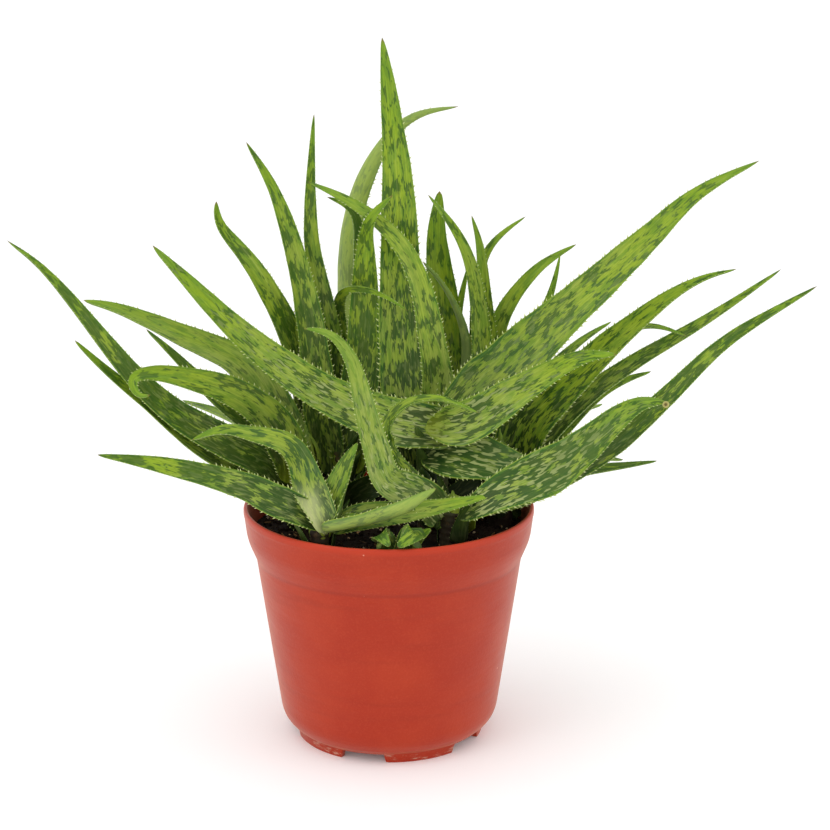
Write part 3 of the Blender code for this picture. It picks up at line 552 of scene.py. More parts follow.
        "bowed": {"seat": 106, "width": 10, "face": (-0.2, -0.9, 0.3), "route": [(38, 40, 140),
            (37, 38, 168), (39.5, 38, 193), (47, 38, 204.5), (57, 38, 212)]},
        "long": {"seat": 106, "width": 13.5, "face": (-0.3, -0.9, 0.3), "look": (0.4, 0.9, 0.7, 0.0, 0.14),
            "route": [(43, 36, 140), (46.5, 35.5, 166), (54.5, 35, 181.5), (64.5, 34.5, 192.5),
            (78, 34, 201)]},
        "stiff": {"seat": 102, "width": 9.5, "face": (-0.3, -0.9, 0.2), "route": [(53, 31, 128),
            (59, 32, 157), (67, 31, 179), (71, 30, 198)]},
        "hidden": {"seat": 103, "width": 9, "face": (0.2, -0.9, 0.2), "route": [(28.5, 43, 135),
            (29, 45, 168), (34, 48, 191)]},
        "folded": {"seat": 104, "width": 14, "face": (0.8, 0.2, 0.2), "look": (0.6, 0.9, 0.2, 0.5, 0.1),
            "route": [(30, 24, 132), (32, 24, 158), (28, 22, 176), (21, 20, 189), (14, 18, 197)]},
        "back": {"seat": 101, "width": 13, "face": (-0.2, -0.5, 0.8), "route": [(41, 46, 119),
            (51, 70, 136), (57, 92, 142)]},
        "low": {"seat": 98, "width": 12, "face": (-0.4, -0.3, 0.8), "route": [(52, 41, 108), (74, 60, 118),
            (94, 76, 121)]},
    },
}

bladeForm = {
    "fuller": 1.06, "taper": 0.73, "fullWidthAt": 0.2, "neck": 0.85, "thickBase": 1.0, "thickShare": 0.18,
    "channel": 0.17, "upper": 0.25, "turnLength": 26.0, "claspLength": 24.0, "claspMost": 1.45,
    "clearance": 0.35, "seatShare": 0.22, "drop": 7.0, "leastDrop": 2.0, "lowestSeat": 90.0,
    "around": 32, "along": 90, "ribPoints": 120, "baseRound": 0.45, "look": (0.5, 0.9, 0.5, 0.07, 0.14),
    "toothSpacing": 2.1, "toothLength": 1.0, "toothShare": 0.042, "teethFrom": 0.05, "teethTo": 0.965,
    # the margins draw in by this share, at this many places a metre, each margin at its own
    "pinch": 0.34, "pinchScale": 38.0, "marginShift": 7.3,
}


def smoothPath(points, count):
    # natural cubic spline through the points, evenly resampled
    points = np.array(points, float)
    steps = np.sqrt(np.linalg.norm(np.diff(points, axis=0), axis=1))
    knots = np.concatenate([[0], np.cumsum(steps)])
    size = len(points)
    matrix = np.eye(size)
    right = np.zeros((size, 3))
    for i in range(1, size - 1):
        matrix[i, i - 1:i + 2] = [steps[i - 1], 2 * (steps[i - 1] + steps[i]), steps[i]]
        right[i] = 6 * ((points[i + 1] - points[i]) / steps[i] - (points[i] - points[i - 1]) / steps[i - 1])
    bend = np.linalg.solve(matrix, right)
    fine = np.linspace(0, knots[-1], 600)
    piece = np.clip(np.searchsorted(knots, fine, side="right") - 1, 0, size - 2)
    width = steps[piece][:, None]
    back = (knots[piece + 1] - fine)[:, None]
    ahead = (fine - knots[piece])[:, None]
    curve = bend[piece] * back ** 3 / (6 * width) + bend[piece + 1] * ahead ** 3 / (6 * width)
    curve += (points[piece] / width - bend[piece] * width / 6) * back
    curve += (points[piece + 1] / width - bend[piece + 1] * width / 6) * ahead
    run = np.concatenate([[0], np.cumsum(np.linalg.norm(np.diff(curve, axis=0), axis=1))])
    even = np.linspace(0, run[-1], count)
    return np.stack([np.interp(even, run, curve[:, axis]) for axis in range(3)], axis=1), run[-1]


def newTree(name, result, sockets):
    # a geometry tree, its inputs by kind, and its one result
    tree = bpy.data.node_groups.new(name, "GeometryNodeTree")
    for kind, names in sockets.items():
        for socket in names:
            tree.interface.new_socket(name=socket, in_out="INPUT", socket_type="NodeSocket" + kind)
    tree.interface.new_socket(name=result, in_out="OUTPUT", socket_type="NodeSocketGeometry")
    bench = Bench(tree)
    start = tree.nodes.new("NodeGroupInput")
    return tree, bench, {s.name: Wire(bench, s) for s in start.outputs if s.name}


def bladeTree():
    # The tree's geometry is the midrib as a curve. u runs from base to tip and v across.
    tree, bench, given = newTree("leafBlade", "Leaf", {
        "Geometry": ("Midrib",),
        "Float": ("Width", "Thickness", "Taper", "Channel", "Clasp", "Clasp Share", "Neck", "Full Width At",
                  "Upper Share", "Turn Share", "Length", "Base Round", "Tooth Length", "Tooth Spacing",
                  "Teeth From", "Teeth To"),
        "Vector": ("Facing Base", "Facing Middle", "Facing Tip", "Tone", "Mood"),
        "Int": ("Around", "Along", "Seed"), "Material": ("Skin", "Horn"),
    })
    seedShift = bench.xyz(given["Seed"] * 0.37, given["Seed"] * 0.73, 0.0)

    def onRib(u):
        settings = {"mode": "FACTOR", "use_all_curves": False, "data_type": "FLOAT"}
        curve = {"Curves": given["Midrib"], "Factor": u}
        place = bench.add("GeometryNodeSampleCurve", settings, curve, "Position")
        way = bench.add("GeometryNodeSampleCurve", settings, curve, "Tangent").unit()
        face = bench.between(given["Facing Middle"], given["Facing Tip"], u)
        face = bench.between(given["Facing Base"], face, (u / given["Turn Share"]).step(0.0, 1.0))
        normal = (face - way * face.dot(way)).unit()
        return place, way, normal, way.cross(normal)

    def section(u, v, swell):
        # swell is +1 in the middle of the upper side, -1 in the middle of the lower one, 0 at the margins
        opened = (u / given["Full Width At"]).step(0.0, 1.0)
        closing = ((1.0 - u) / (1.0 - given["Full Width At"])).held()
        share = given["Neck"] + (1.0 - given["Neck"]) * opened
        half = given["Width"] * 0.5 * share * closing ** given["Taper"]
        short = (1.0 - u * given["Length"] / given["Base Round"]).held()
        half = half * ((1.0 - short * short).most(0.0) ** 0.5 * 0.85 + 0.15)
        unrolled = (u / given["Clasp Share"]).step(0.0, 1.0)
        bend = given["Clasp"] + (given["Channel"] * 4.0 - given["Clasp"]) * unrolled
        tipward = ((1.0 - u) * 30.0).held() ** 0.5
        depth = given["Thickness"] * (1.0 - u * 0.65) * (opened * 0.3 + 0.7) * tipward
        upper = swell.above(0.0)
        share = upper * given["Upper Share"] + (1.0 - upper) * (1.0 - given["Upper Share"])
        out = depth * swell.size() ** 1.6 * share * (upper * 2.0 - 1.0)
        angle = bend * v
        across = half / bend * angle.sine() - out * angle.sine()
        rise = half / bend * (1.0 - angle.cosine()) + out * angle.cosine()
        return half, across, rise

    def pinched(across, u, margin):
        place = bench.xyz(0.0, u * given["Length"] * bladeForm["pinchScale"], 0.0) + seedShift
        narrow = bench.noise(place + margin.above(0.0) * bladeForm["marginShift"]) - 0.5
        return across * (1.0 + narrow * bladeForm["pinch"])

    # skin: a grid rolled round the midrib, whose first row is drawn together at the base
    grid = bench.add("GeometryNodeMeshGrid", {}, {
        "Size X": 1.0, "Size Y": 1.0, "Vertices X": given["Around"] + 1.0, "Vertices Y": given["Along"]})
    gridX, gridY = bench.here().parts()[:2]
    turn = (gridX + 0.5) * (2 * math.pi)
    row = (gridY + 0.5) * (given["Along"] - 1.0)
    u = ((row - 1.0) / (given["Along"] - 2.0)).held()
    shut = 1.0 - row.above(0.5)
    v = -turn.cosine()
    swell = turn.sine() * (1.0 - shut)
    place, way, normal, side = onRib(u)
    half, across, rise = section(u, v, swell)
    rest = bench.xyz(v * half, u * given["Length"], swell * half)
    lump = bench.noise(rest * (45.0, 22.0, 0.0) + seedShift) - 0.5
    groove = (v * 17.0 + lump * 6.0).sine() * 0.004
    across = pinched(across, u, v) * (1.0 - shut * 0.1)
    rise = rise + lump * half * 0.16 + groove * half * (1.0 - v.size())
    point = place + side * across + normal * rise - way * (shut * given["Thickness"] * 0.2)
    skin = bench.add("GeometryNodeSetPosition", {}, {"Geometry": grid, "Position": point})

    def keep(geometry, name, value):
        return bench.add("GeometryNodeStoreNamedAttribute", {"data_type": "FLOAT_VECTOR", "domain": "POINT"},
                         {"Geometry": geometry, "Name": name, "Value": value})

    # the attributes are stored before the grid is rolled, while a point still knows its row
    flat = keep(grid, "leafRest", rest)
    flat = keep(flat, "leafPlace", bench.xyz(v, u, swell))
    flat = keep(flat, "leafTone", given["Tone"])
    flat = keep(flat, "leafMood", given["Mood"])
    tree.links.new(flat.socket, skin.socket.node.inputs["Geometry"])
    skin = bench.add("GeometryNodeMergeByDistance", {}, {"Geometry": skin, "Distance": 0.000004})
    skin = bench.add("GeometryNodeSetShadeSmooth", {}, {"Geometry": skin, "Shade Smooth": True})
    skin = bench.add("GeometryNodeSetMaterial", {}, {"Geometry": skin, "Material": given["Skin"]})

    # teeth: a slim hooked cone at every mark of both margins
    toothed = given["Teeth To"] - given["Teeth From"]
    perSide = (toothed * given["Length"] / given["Tooth Spacing"]).whole().most(2.0)
    marks = bench.add("GeometryNodeMeshLine", {"mode": "OFFSET"}, {"Count": perSide * 2.0})
    order = bench.add("GeometryNodeInputIndex", {}, {})
    step = (order * 0.5).whole()
    hand = order - step * 2.0
    jitter = bench.add("FunctionNodeRandomValue", {"data_type": "FLOAT"},
                       {"Min_001": -0.3, "Max_001": 0.3, "ID": order, "Seed": given["Seed"]}, 1)
    growth = bench.add("FunctionNodeRandomValue", {"data_type": "FLOAT"},
                       {"Min_001": 0.7, "Max_001": 1.2, "ID": order, "Seed": given["Seed"] + 11.0}, 1)
    toothU = given["Teeth From"] + toothed * (step + 0.5 + hand * 0.35 + jitter) / perSide
    toothV = hand * 2.0 - 1.0
    place, way, normal, side = onRib(toothU)
    half, across, rise = section(toothU, toothV, order * 0.0)
    across = pinched(across, toothU, toothV)
    outward = (side * toothV + normal * (given["Channel"] * 3.0)).unit()
    root = place + side * across + normal * rise - outward * 0.0003
    marks = bench.add("GeometryNodeSetPosition", {}, {"Geometry": marks, "Position": root})
    cone = bench.add("GeometryNodeMeshCone", {"fill_type": "TRIANGLE_FAN"}, {
        "Vertices": 5, "Side Segments": 2, "Radius Top": 0.0, "Radius Bottom": 0.36, "Depth": 1.0})
    cx, cy, cz = bench.here().parts()
    slim = 1.0 - cz.least(0.9) * 0.55
    hooked = bench.xyz(cx * slim + cz * cz * 0.34, cy * slim * 0.5, cz)
    cone = bench.add("GeometryNodeSetPosition", {}, {"Geometry": cone, "Position": hooked})
    cone = keep(cone, "leafPlace", bench.xyz(0.0, 0.0, cz))
    lean = (outward + way * 0.3).unit()
    rotation = bench.add("FunctionNodeAxesToRotation", {"primary_axis": "Z", "secondary_axis": "X"},
                         {"Primary Axis": lean, "Secondary Axis": way})
    reach = given["Tooth Length"] * growth * (1.0 - toothU * 0.5)
    scale = bench.xyz(reach, reach * 0.85, reach)
    teeth = bench.add("GeometryNodeInstanceOnPoints", {},
                      {"Points": marks, "Instance": cone, "Rotation": rotation, "Scale": scale})
    teeth = bench.add("GeometryNodeRealizeInstances", {}, {"Geometry": teeth})
    teeth = bench.add("GeometryNodeSetShadeSmooth", {}, {"Geometry": teeth, "Shade Smooth": True})
    teeth = bench.add("GeometryNodeSetMaterial", {}, {"Geometry": teeth, "Material": given["Horn"]})
    both = tree.nodes.new("GeometryNodeJoinGeometry")
    tree.links.new(teeth.socket, both.inputs[0])
    tree.links.new(skin.socket, both.inputs[0])
    end = tree.nodes.new("NodeGroupOutput")
    tree.links.new(both.outputs[0], end.inputs[0])
    return tree


skinLook = {
    "sage": "909F4E", "yellow": "8FA620", "fresh": "5F8C1C", "middle": "55801F", "deepBase": "0E260A",
    "deep": "1A460A", "blue": "22502F", "fleck": "B2BC76", "under": "A6B76E", "margin": "8FA636",
    "young": "8C9A16", "cream": "C8CC8E", "brown": "7A5A34", "oldShade": "1B200E", "bloom": "84985E",
    "vein": "2E4F1C", "veinPale": "C4D08A", "edge": "2F6A1C",
    "horn": "8DA843", "hornPale": "CBD488", "hornTip": "9A6A3C",
}


def leafSkin():
    material, bench = newMaterial("leafSkin")
    rest = bench.stored("leafRest")
    v, u, swell = bench.stored("leafPlace").parts()
    dark, spots, seed = bench.stored("leafTone").parts()
    yellow, wax, flecks = bench.stored("leafMood").parts()
    upper = swell.step(-0.2, 0.2)
    shift = bench.xyz(seed * 13.1, seed * 7.7, seed * 3.3 + upper * 5.0)
    across, along = rest.parts()[:2]
    flat = bench.xyz(across, along, 0.0)
    edge = v.size()
    # ground colour, greyer at the base and fresher towards the tip
    broad = bench.noise(flat * (75.0, 26.0, 1.0) + shift)
    ripe = (yellow + u * 0.9 - 0.32 + (broad - 0.5) * 1.4).held()
    ground = bench.blend(skinLook["sage"], skinLook["yellow"], ripe)
    ground = bench.blend(ground, skinLook["fresh"], (u.step(0.6, 1.0) * 0.5 + broad.step(0.55, 0.75) * 0.2))
    patch = bench.noise(flat * (520.0, 105.0, 1.0) + shift * 2.3, 1.0, 3.0, 0.65)
    ground = bench.blend(ground, skinLook["middle"], patch.step(0.46, 0.6) * 0.55)
    streak = bench.noise(flat * (2100.0, 40.0, 1.0) + shift, 1.0, 2.0, 0.6)
    # dark blotches with ragged ends, drawn out along the veins and linked in bands
    comb = bench.noise(flat * (1250.0, 150.0, 1.0) + shift, 1.0, 1.0, 0.5) - 0.5
    ragged = bench.xyz(across, along + comb * 0.0075, 0.0)
    blot = bench.noise(ragged * (470.0, 195.0, 1.0) + shift, 1.0, 2.0, 0.55)
    bands = bench.noise(ragged * (100.0, 110.0, 1.0) + shift * 1.3, 1.0, 1.0, 0.5)
    islands = bench.noise(ragged * (1150.0, 400.0, 1.0) + shift * 0.6, 1.0, 1.0, 0.5)
    # the blotch level rises towards the base, and on flecked leaves far more (next line): painted shade on
    # the bases deep in the clump
    level = blot * 0.52 + bands * 0.28 + islands * 0.2 + (dark - 0.5) * 0.3 + (0.3 - u) * 0.08
    level = level + flecks.step(0.9, 1.0) * (0.3 - u).most(0.0) * 0.5
    mask = level.step(0.494, 0.51) * spots
    soft = level.step(0.42, 0.515) * spots
    deep = bench.blend(skinLook["deepBase"], skinLook["deep"], (u * 1.8 + (broad - 0.5)).held())
    deep = bench.blend(deep, skinLook["blue"], (wax * (broad.step(0.35, 0.65) * 0.7 + 0.3)).least(0.6))
    covered = mask * (0.96 - u * 0.2 - blot.step(0.55, 0.3) * 0.2) + (soft - mask).most(0.0) * 0.22
    skin = bench.blend(ground, deep, covered)
    # pale dashes on dark ground
    dash = bench.noise(flat * (900.0, 210.0, 1.0) + shift * 1.9, 1.0, 1.0, 0.5)
    fleck = dash.step(0.53, 0.6) * (flecks * (1.0 - u.step(0.25, 0.8) * 0.7)).least(1.0)
    skin = bench.blend(skin, skinLook["fleck"], fleck * (mask * 0.8 + 0.2))
    # veins, bloom and the paler underside
    skin = bench.blend(skin, skinLook["vein"], (1.0 - streak.step(0.3, 0.6)) * 0.26)
    skin = bench.blend(skin, skinLook["veinPale"], streak.step(0.55, 0.8) * 0.14)
    bloom = bench.noise(flat * (110.0, 36.0, 1.0) + shift * 1.7, 1.0, 3.0, 0.6)
    skin = bench.blend(skin, skinLook["bloom"], bloom.step(0.48, 0.75) * (wax.least(0.5) * 0.35 + 0.05))
    pale = (1.0 - upper) * (wax.least(0.6) * 0.5 + 0.18) * (1.0 - dark.step(0.9, 1.2))
    skin = bench.blend(skin, skinLook["under"], pale)
    # margins, base and tip
    rim = edge.step(0.955, 0.985)
    skin = bench.blend(skin, skinLook["edge"], edge.step(0.8, 0.93) * (1.0 - rim) * 0.4)
    skin = bench.blend(skin, skinLook["margin"], rim * 0.75)
    new = (1.0 - along.step(0.003, 0.016)) * yellow.step(0.5, 0.64) * 0.5
    skin = bench.blend(skin, skinLook["young"], new)
    waxy = (1.0 - along.step(0.006, 0.026)) * wax.step(0.6, 0.8) * broad.step(0.3, 0.6) * 0.8
    skin = bench.blend(skin, skinLook["cream"], waxy)
    skin = bench.blend(skin, skinLook["brown"], u.step(0.982, 0.997) * 0.7)
    # leaves with dark above 1, the older leaves and the sheaths, turn near-black, most at the base: painted
    # shade
    skin = bench.blend(skin, skinLook["oldShade"], dark.step(1.0, 1.15) * (0.8 - u * 0.4))
    rough = 0.47 - mask * 0.05 + (bloom - 0.5) * 0.22 + (1.0 - upper) * 0.05
    pebble = bench.noise(flat * (1500.0, 700.0, 1.0) + shift)
    height = streak * 0.4 + pebble * 0.3 + blot * 0.4 + broad * 0.5
    finish(bench, skin, rough, height, 0.00016, IOR=1.42, Specular_IOR_Level=0.25, Subsurface_Weight=0.05)
    bench.shader.inputs["Subsurface Radius"].default_value = (0.0012, 0.0016, 0.0006)
    return material


def toothHorn():
    material, bench = newMaterial("toothHorn")
    tip = bench.stored("leafPlace").parts()[2]
    place = bench.inObject()
    some = bench.noise(place, 260.0, 1.0, 0.5).step(0.5, 0.62)
    horn = bench.blend(skinLook["horn"], skinLook["hornPale"], tip.step(0.1, 0.55))
    horn = bench.blend(horn, skinLook["hornTip"], tip.step(0.8, 0.98) * some * 0.7)
    finish(bench, horn, tip * 0.1 + 0.35, IOR=1.5, Subsurface_Weight=0.1)
    return material


def setInputs(modifier, values):
    # by identifier, before the object is first evaluated
    names = {item.name: item.identifier for item in modifier.node_group.interface.items_tree
             if item.item_type == "SOCKET" and item.in_out == "INPUT"}
    for name, value in values.items():
        modifier[names[name]] = value


def made(piece):
    # the piece's live nodes become its plain mesh
    mesh = liveMesh(piece)
    name = piece.name
    piece.modifiers.clear()
    bpy.data.objects.remove(piece, do_unlink=True)
    mesh.name = name
    return link(name, mesh)


def growBlade(name, points, row, radius, inward, seed, teeth=1.0, around=None, along=None):
    path, length = smoothPath(points, bladeForm["ribPoints"])
    curve = bpy.data.curves.new(name, "CURVE")
    curve.dimensions = "3D"
    spline = curve.splines.new("POLY")
    spline.points.add(len(path) - 1)
    for mark, point in zip(spline.points, path):
        mark.co = (*(point * mm), 1.0)
    rib = link(name, curve)
    grow = rib.modifiers.new("blade", "NODES")
    grow.node_group = kit["tree"]
    width = row["width"] * bladeForm["fuller"]
    dark, spots, yellow, wax, flecks = row.get("look", bladeForm["look"])
    face = np.array(row["face"], float)
    face /= np.linalg.norm(face)
    hug = max(float(np.dot(inward, face[:2])), 0.0)
    neck = row.get("neck", bladeForm["neck"])
    clasp = row.get("clasp", min(width / 2 * neck / (radius + 2.0), bladeForm["claspMost"]))
    setInputs(grow, {
        "Width": width * mm, "Thickness": (bladeForm["thickBase"] + bladeForm["thickShare"] * width) * mm,
        "Taper": row.get("taper", bladeForm["taper"]), "Channel": bladeForm["channel"],
        "Clasp": clasp, "Clasp Share": min(bladeForm["claspLength"] / length, 0.6),
        "Neck": neck, "Full Width At": row.get("fullAt", bladeForm["fullWidthAt"]),
        "Upper Share": bladeForm["upper"], "Turn Share": min(bladeForm["turnLength"] / length, 0.9),
        "Length": length * mm, "Base Round": width * bladeForm["baseRound"] * mm,
        "Tooth Length": (bladeForm["toothLength"] + bladeForm["toothShare"] * width) * mm * teeth,
        "Tooth Spacing": bladeForm["toothSpacing"] * mm * (0.75 + 0.25 * min(width / 16, 1.3)),
        "Teeth From": bladeForm["teethFrom"], "Teeth To": bladeForm["teethTo"],
        "Facing Base": (*(face[:2] + inward * hug), face[2] + 0.15),
        "Facing Middle": tuple(face), "Facing Tip": row.get("turn", tuple(face)),
        "Tone": (dark, spots, seed * 0.618 % 7.0), "Mood": (yellow, wax, flecks),
        "Around": around or bladeForm["around"], "Along": along or bladeForm["along"], "Seed": seed,
        "Skin": kit["skin"], "Horn": kit["horn"],
    })
    return made(rib)


def leafStart(rosette, row):
    centre = np.array(rosette["at"], float)
    away = np.array(row["route"][0][:2], float) - centre
    away /= np.linalg.norm(away)
    thickness = bladeForm["thickBase"] + bladeForm["thickShare"] * row["width"]
    reach = rosette["radius"] + bladeForm["clearance"] + bladeForm["seatShare"] * thickness
    return centre + away * reach, -away


# a leaf tip that was cut and healed: place, radius and lip in mm, and the way it faces
scar = {
    "at": (109.2, -35.6, 150.6), "radius": 1.05, "facing": (-0.2, -1.0, 0.25), "sides": 24,
    "rim": "A9A25E", "pit": "6B5A2C",
    # radius and height, as shares of the scar's radius
    "lip": [(0.0, -0.35), (0.5, -0.35), (0.8, 0.15), (1.0, 0.3), (1.25, 0.15), (1.3, -0.4), (0.9, -1.1),
            (0.0, -1.3)],
}


def cutTip():
    material, bench = newMaterial("healedCut")
    place = bench.stored("leafPlace").parts()[0]
    coarse = bench.noise(bench.inObject(), 1800.0, 3.0, 0.6)
    share = (place.step(0.35, 0.75) + (coarse - 0.5) * 0.8).held()
    skin = bench.blend(scar["pit"], scar["rim"], share)
    finish(bench, skin, coarse * 0.2 + 0.55, coarse, 0.0002)
    turn = Vector(scar["facing"]).normalized().to_track_quat("Z", "Y")

    def point(radius, angle, height):
        spot = Vector((radius * math.cos(angle), radius * math.sin(angle), height)) * scar["radius"]
        return (Vector(scar["at"]) + turn @ spot) * mm

    mesh = turned("cutTip", scar["lip"], scar["sides"], point)
    radii = [radius for radius, height in scar["lip"] for side in range(scar["sides"] if radius else 1)]
    stored = mesh.attributes.new("leafPlace", "FLOAT_VECTOR", "POINT")
    for mark, radius in zip(stored.data, radii):
        mark.vector = (radius, 0, 0)
    mesh.shade_smooth()
    mesh.materials.append(material)
    return link("cutTip", mesh)


kit = {"tree": bladeTree(), "skin": leafSkin(), "horn": toothHorn()}


def makeRosettes():
    seeds = itertools.count(4)
    for rosetteName, rosette in rosettes.items():
        blades = []
        nodes = []
        for name, row in leaves[rosetteName].items():
            seat, inward = leafStart(rosette, row)
            foot = max(row["seat"] - bladeForm["drop"], bladeForm["lowestSeat"])
            base = [(*seat, row["seat"])]
            if foot < row["seat"] - bladeForm["leastDrop"]:
                base.insert(0, (*seat, foot))
            points = [*row.get("base", base), *row["route"][row.get("skip", 0):]]
            blades.append(growBlade(name, points, row, rosette["radius"], inward, next(seeds)))
            nodes.append("leaf_" + rosetteName + "_" + name)
        if rosetteName == "front":
            blades.append(cutTip())
        piece = joined("rosette_" + rosetteName, blades)
        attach(piece, "root")
        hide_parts(*nodes)
        print("rosette", rosetteName, len(nodes), "leaves,", len(piece.data.polygons), "faces")


makeRosettes()

stemForm = {
    "sides": 28, "scarStep": 2.6, "scarDepth": 0.35, "root": 76.0, "firstSheath": 91.0, "sheathStep": 4.2,
    "sheathWidth": 1.5, "sheathLength": 17.0, "heartLeaves": 5, "spiral": 137.5,
    "bark": "2B1F12", "green": "45501F", "dry": "6E5532",
    # older leaves low in the clump, painted near-black as shade in its gaps, by rosette: width, facing,
    # points
    "oldShade": {
        "main": [(15, (0.1, -1.0, 0.3), [(13, -1, 103), (4, 8, 118), (-6, 15, 127), (-14, 20, 132)]),
                 (14, (0.0, -1.0, 0.3), [(24, 0, 94), (33, 6, 102), (44, 12, 108), (54, 16, 112)])],
        "rear_left": [(14, (0.2, -1.0, 0.2), [(-17, 19, 93), (-9, 14, 101), (2, 10, 106), (10, 6, 108)])],
        "rear_right": [(13, (0.0, -1.0, 0.2), [(31, 25, 95), (24, 22, 106), (16, 20, 120), (12, 19, 132)])],
        "left": [(13, (0.2, -1.0, 0.3), [(-37, -1, 92), (-41, -8, 98), (-46, -14, 103), (-50, -19, 106)])],
    },
}


def stemSkin():
    material, bench = newMaterial("stemSkin")
    place = bench.inObject()
    z = place.parts()[2]
    rough = bench.noise(place * (1.0, 1.0, 0.35), 420.0, 4.0, 0.65)
    patch = bench.noise(place, 120.0)
    living = (z.step(0.095, 0.125) + (patch - 0.5) * 0.9).held()
    skin = bench.blend(stemForm["bark"], stemForm["green"], living)
    skin = bench.blend(skin, stemForm["dry"], rough.step(0.52, 0.7) * 0.5)
    finish(bench, skin, rough * 0.2 + 0.6, rough, 0.0003, IOR=1.4)
    return material


def stemCore(rosette, centre, bark):
    form = stemForm
    radius, top = rosette["radius"], rosette["top"]
    profile = [(0.0, form["root"]), (radius * 0.72, form["root"] + 0.5)]
    for number, height in enumerate(np.arange(form["root"] + 1, top, form["scarStep"] / 3)):
        profile.append((radius - (number % 3 == 0) * form["scarDepth"], height))
    profile += [(radius * 0.6, top + 1.0), (0.0, top + 1.5)]

    def point(ringRadius, turn, height):
        return (centre + (ringRadius * math.cos(turn), ringRadius * math.sin(turn), height)) * mm

    mesh = turned("stem", profile, form["sides"], point)
    mesh.materials.append(bark)
    mesh.shade_smooth()
    return link("stem", mesh)


def outward(degrees):
    turn = math.radians(degrees)
    return np.array([math.cos(turn), math.sin(turn), 0.0])


def sheaths(rosette, centre, seeds):
    # what is left of older leaves, up the stem
    form = stemForm
    radius, top, tall = rosette["radius"], rosette["top"], form["sheathLength"]
    for number, height in enumerate(np.arange(form["firstSheath"], top - 3, form["sheathStep"])):
        seed = next(seeds)
        away = outward(form["spiral"] * number + 40 * seed)
        low = (height - form["firstSheath"]) / (top - form["firstSheath"])
        # a dark above 1 paints them near-black, the lower ones most: painted shade low on the stem
        row = {"width": radius * form["sheathWidth"], "face": (*(-away[:2]), 0.35), "neck": 1.2, "taper": 0.7,
               "look": (1.35 - low * 0.3, 1.0, 0.1, 0.0, 0.15)}
        points = [centre + away * (radius + out) + (0, 0, height + up)
                  for out, up in ((0.6, -3), (1.5, 3), (4.0, tall * 0.55), (8.5, tall))]
        yield growBlade("sheath", points, row, radius, -away[:2], seed, 0.6, 16, 24)


def oldShadeLeaves(rosetteName, radius, centre, seeds):
    for width, face, points in stemForm["oldShade"].get(rosetteName, []):
        # dark 1.2 paints them near-black: painted shade in the gaps of the clump
        row = {"width": width, "face": face, "neck": 0.9, "look": (1.2, 1.0, 0.1, 0.0, 0.3)}
        away = np.array(points[1][:2], float) - centre[:2]
        inward = -away / np.linalg.norm(away)
        yield growBlade("oldShade", points, row, radius, inward, next(seeds), 0.9, 24, 48)


def youngLeaves(rosette, centre, seeds):
    # the youngest leaves, folded over the tip
    radius, top, heart = rosette["radius"], rosette["top"], rosette["heart"]
    for number in range(stemForm["heartLeaves"]):
        away = outward(stemForm["spiral"] * number + 20)
        share = 1 - number / (stemForm["heartLeaves"] + 1)
        row = {"width": radius * (0.7 + share * 0.6), "face": (*(-away[:2]), 0.1), "neck": 1.1,
               "look": (0.45, 0.9, 0.8, 0.1, 0.2)}
        points = [centre + away * radius * (0.35 + share * 0.5) + (0, 0, top - 4),
                  centre + away * radius * (0.3 + share * 0.5) + (0, 0, top + 3),
                  centre + away * radius * 0.35 * share + (0, 0, top + heart * (0.75 - share * 0.15)),
                  centre + (0, 0, top + heart * (1.15 - share * 0.35))]
        yield growBlade("young", points, row, radius * 0.7, -away[:2], next(seeds), 0.7, 20, 32)


def makeStems():
    bark = stemSkin()
    seeds = itertools.count(101)
    for rosetteName, rosette in rosettes.items():
        centre = np.array([*rosette["at"], 0.0])
        parts = [stemCore(rosette, centre, bark), *sheaths(rosette, centre, seeds),
                 *oldShadeLeaves(rosetteName, rosette["radius"], centre, seeds),
                 *youngLeaves(rosette, centre, seeds)]
        piece = joined("stemFine_" + rosetteName, parts)
        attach(piece, "root")
        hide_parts("stem_" + rosetteName)
    print("stems dressed")


makeStems()

offset = {
    "at": (5, -46), "radius": 2.6, "top": 92.0,
    "leaves": [
        {"width": 11, "face": (-0.3, -0.6, 0.7),
            "route": [(-1, -48.5, 98), (-2.5, -54, 102.8), (1, -60.8, 100.4)]},
        {"width": 13, "face": (0.3, -0.7, 0.7),
            "route": [(9, -48.5, 99), (10.5, -54, 103.5), (4, -61.2, 100.2)]},
        {"width": 9, "face": (0.0, -0.6, 0.8), "route": [(11, -47, 97), (17, -50, 104)]},
    ],
}


def makeOffset():
    parts = []
    for number, row in enumerate(offset["leaves"]):
        first = np.array(row["route"][0][:2], float) - offset["at"]
        away = first / np.linalg.norm(first)
        row = {**row, "look": (0.72, 0.95, 0.3, 0.1, 0.1), "neck": 0.8, "taper": 0.55}
        start = (*(np.array(offset["at"]) + away * 1.0), offset["top"] - 4)
        points = [start, *row["route"]]
        parts.append(growBlade("offset", points, row, offset["radius"], -away, 300 + number, 0.8, 20, 40))
    piece = joined("offsetFine", parts)
    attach(piece, "root")
    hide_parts("offset_tiny")
    print("offset grown")


makeOffset()

soilForm = {
    "edge": 87.5, "mound": 3.0, "moundReach": 60.0, "rough": 0.66, "radius": 54.6, "squares": 60,
    "crumbs": 246000.0, "bits": 14000.0, "seed": 5,
    "dark": "17110C", "brown": "2E2017", "tan": "A07A50", "pale": "C9C0AC",
}


def soilSkin(name, first, second):
    material, bench = newMaterial(name)
    place = bench.inObject()
    grain = bench.noise(place, 700.0, 4.0, 0.65)
    patch = bench.noise(place, 150.0)
    skin = bench.blend(first, second, (patch.step(0.35, 0.7) * 0.6 + grain.step(0.5, 0.75) * 0.4))
    finish(bench, skin, grain * 0.15 + 0.8, grain, 0.0005, IOR=1.35, Specular_IOR_Level=0.2)
    return material


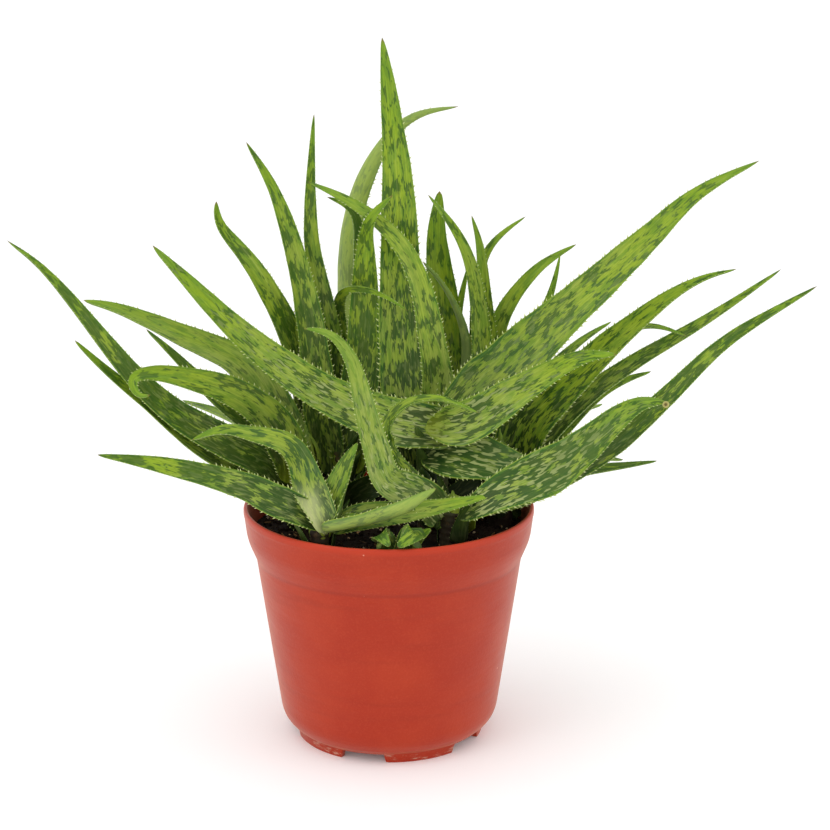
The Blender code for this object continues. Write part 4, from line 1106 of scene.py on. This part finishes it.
def crumbTree():
    tree, bench, given = newTree("crumbs", "Crumbs", {
        "Geometry": ("Bed",), "Float": ("Density", "Least", "Most", "Stretch"), "Int": ("Seed",),
        "Material": ("Skin",),
    })
    points = bench.add("GeometryNodeDistributePointsOnFaces", {"distribute_method": "RANDOM"},
                       {"Mesh": given["Bed"], "Density": given["Density"], "Seed": given["Seed"]})
    crumb = bench.add("GeometryNodeMeshIcoSphere", {}, {"Radius": 0.5, "Subdivisions": 2})
    where = bench.here()
    dent = bench.noise(where, 2.3)
    dented = where * (dent * 1.3 + 0.4)
    crumb = bench.add("GeometryNodeSetPosition", {}, {"Geometry": crumb, "Position": dented})
    fullTurn = 6.28
    turn = bench.add("FunctionNodeRandomValue", {"data_type": "FLOAT_VECTOR"}, {
        "Min": (0.0, 0.0, 0.0), "Max": (fullTurn, fullTurn, fullTurn), "Seed": given["Seed"] + 3.0})
    size = bench.add("FunctionNodeRandomValue", {"data_type": "FLOAT"},
                     {"Min_001": given["Least"], "Max_001": given["Most"], "Seed": given["Seed"] + 7.0}, 1)
    scale = bench.xyz(size, size * given["Stretch"], size * 0.8)
    crumbs = bench.add("GeometryNodeInstanceOnPoints", {},
                       {"Points": points, "Instance": crumb, "Rotation": turn, "Scale": scale})
    crumbs = bench.add("GeometryNodeRealizeInstances", {}, {"Geometry": crumbs})
    crumbs = bench.add("GeometryNodeSetMaterial", {}, {"Geometry": crumbs, "Material": given["Skin"]})
    end = tree.nodes.new("NodeGroupOutput")
    tree.links.new(crumbs.socket, end.inputs[0])
    return tree


def soilBed():
    form = soilForm
    builder = bmesh.new()
    bmesh.ops.create_grid(builder, x_segments=form["squares"], y_segments=form["squares"],
                              size=form["radius"] * mm)
    for vertex in list(builder.verts):
        if vertex.co.xy.length > form["radius"] * mm:
            builder.verts.remove(vertex)
            continue
        x, y = vertex.co.x / mm, vertex.co.y / mm
        wave = math.sin(0.21 * x + 1.3) * math.cos(0.26 * y) + 0.6 * math.sin(0.47 * x - 0.39 * y)
        mound = form["mound"] * (1 - (x * x + y * y) / form["moundReach"] ** 2)
        vertex.co.z = (form["edge"] + mound + form["rough"] * wave) * mm
    mesh = bpy.data.meshes.new("bed")
    builder.to_mesh(mesh)
    builder.free()
    return mesh


def makeSoil():
    form = soilForm
    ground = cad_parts["soil"]
    ground.data.materials.clear()
    ground.data.materials.append(soilSkin("pottingMix", form["dark"], form["brown"]))
    tree = crumbTree()
    parts = []
    for name, density, least, most, stretch, first, second in (
            ("crumbs", form["crumbs"], 0.0006, 0.0022, 1.0, form["dark"], form["brown"]),
            ("fibres", form["bits"], 0.0006, 0.0013, 5.0, form["brown"], form["tan"]),
            ("grit", form["bits"] * 0.6, 0.0007, 0.0018, 1.0, form["tan"], form["pale"])):
        bed = link(name, soilBed())
        scatter = bed.modifiers.new("scatter", "NODES")
        scatter.node_group = tree
        setInputs(scatter, {"Density": density, "Least": least, "Most": most, "Stretch": stretch,
                            "Seed": form["seed"] + len(parts), "Skin": soilSkin(name, first, second)})
        parts.append(made(bed))
    piece = joined("soilCrumbs", parts)
    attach(piece, "root")
    print("soil strewn,", len(piece.data.polygons), "faces")


makeSoil()
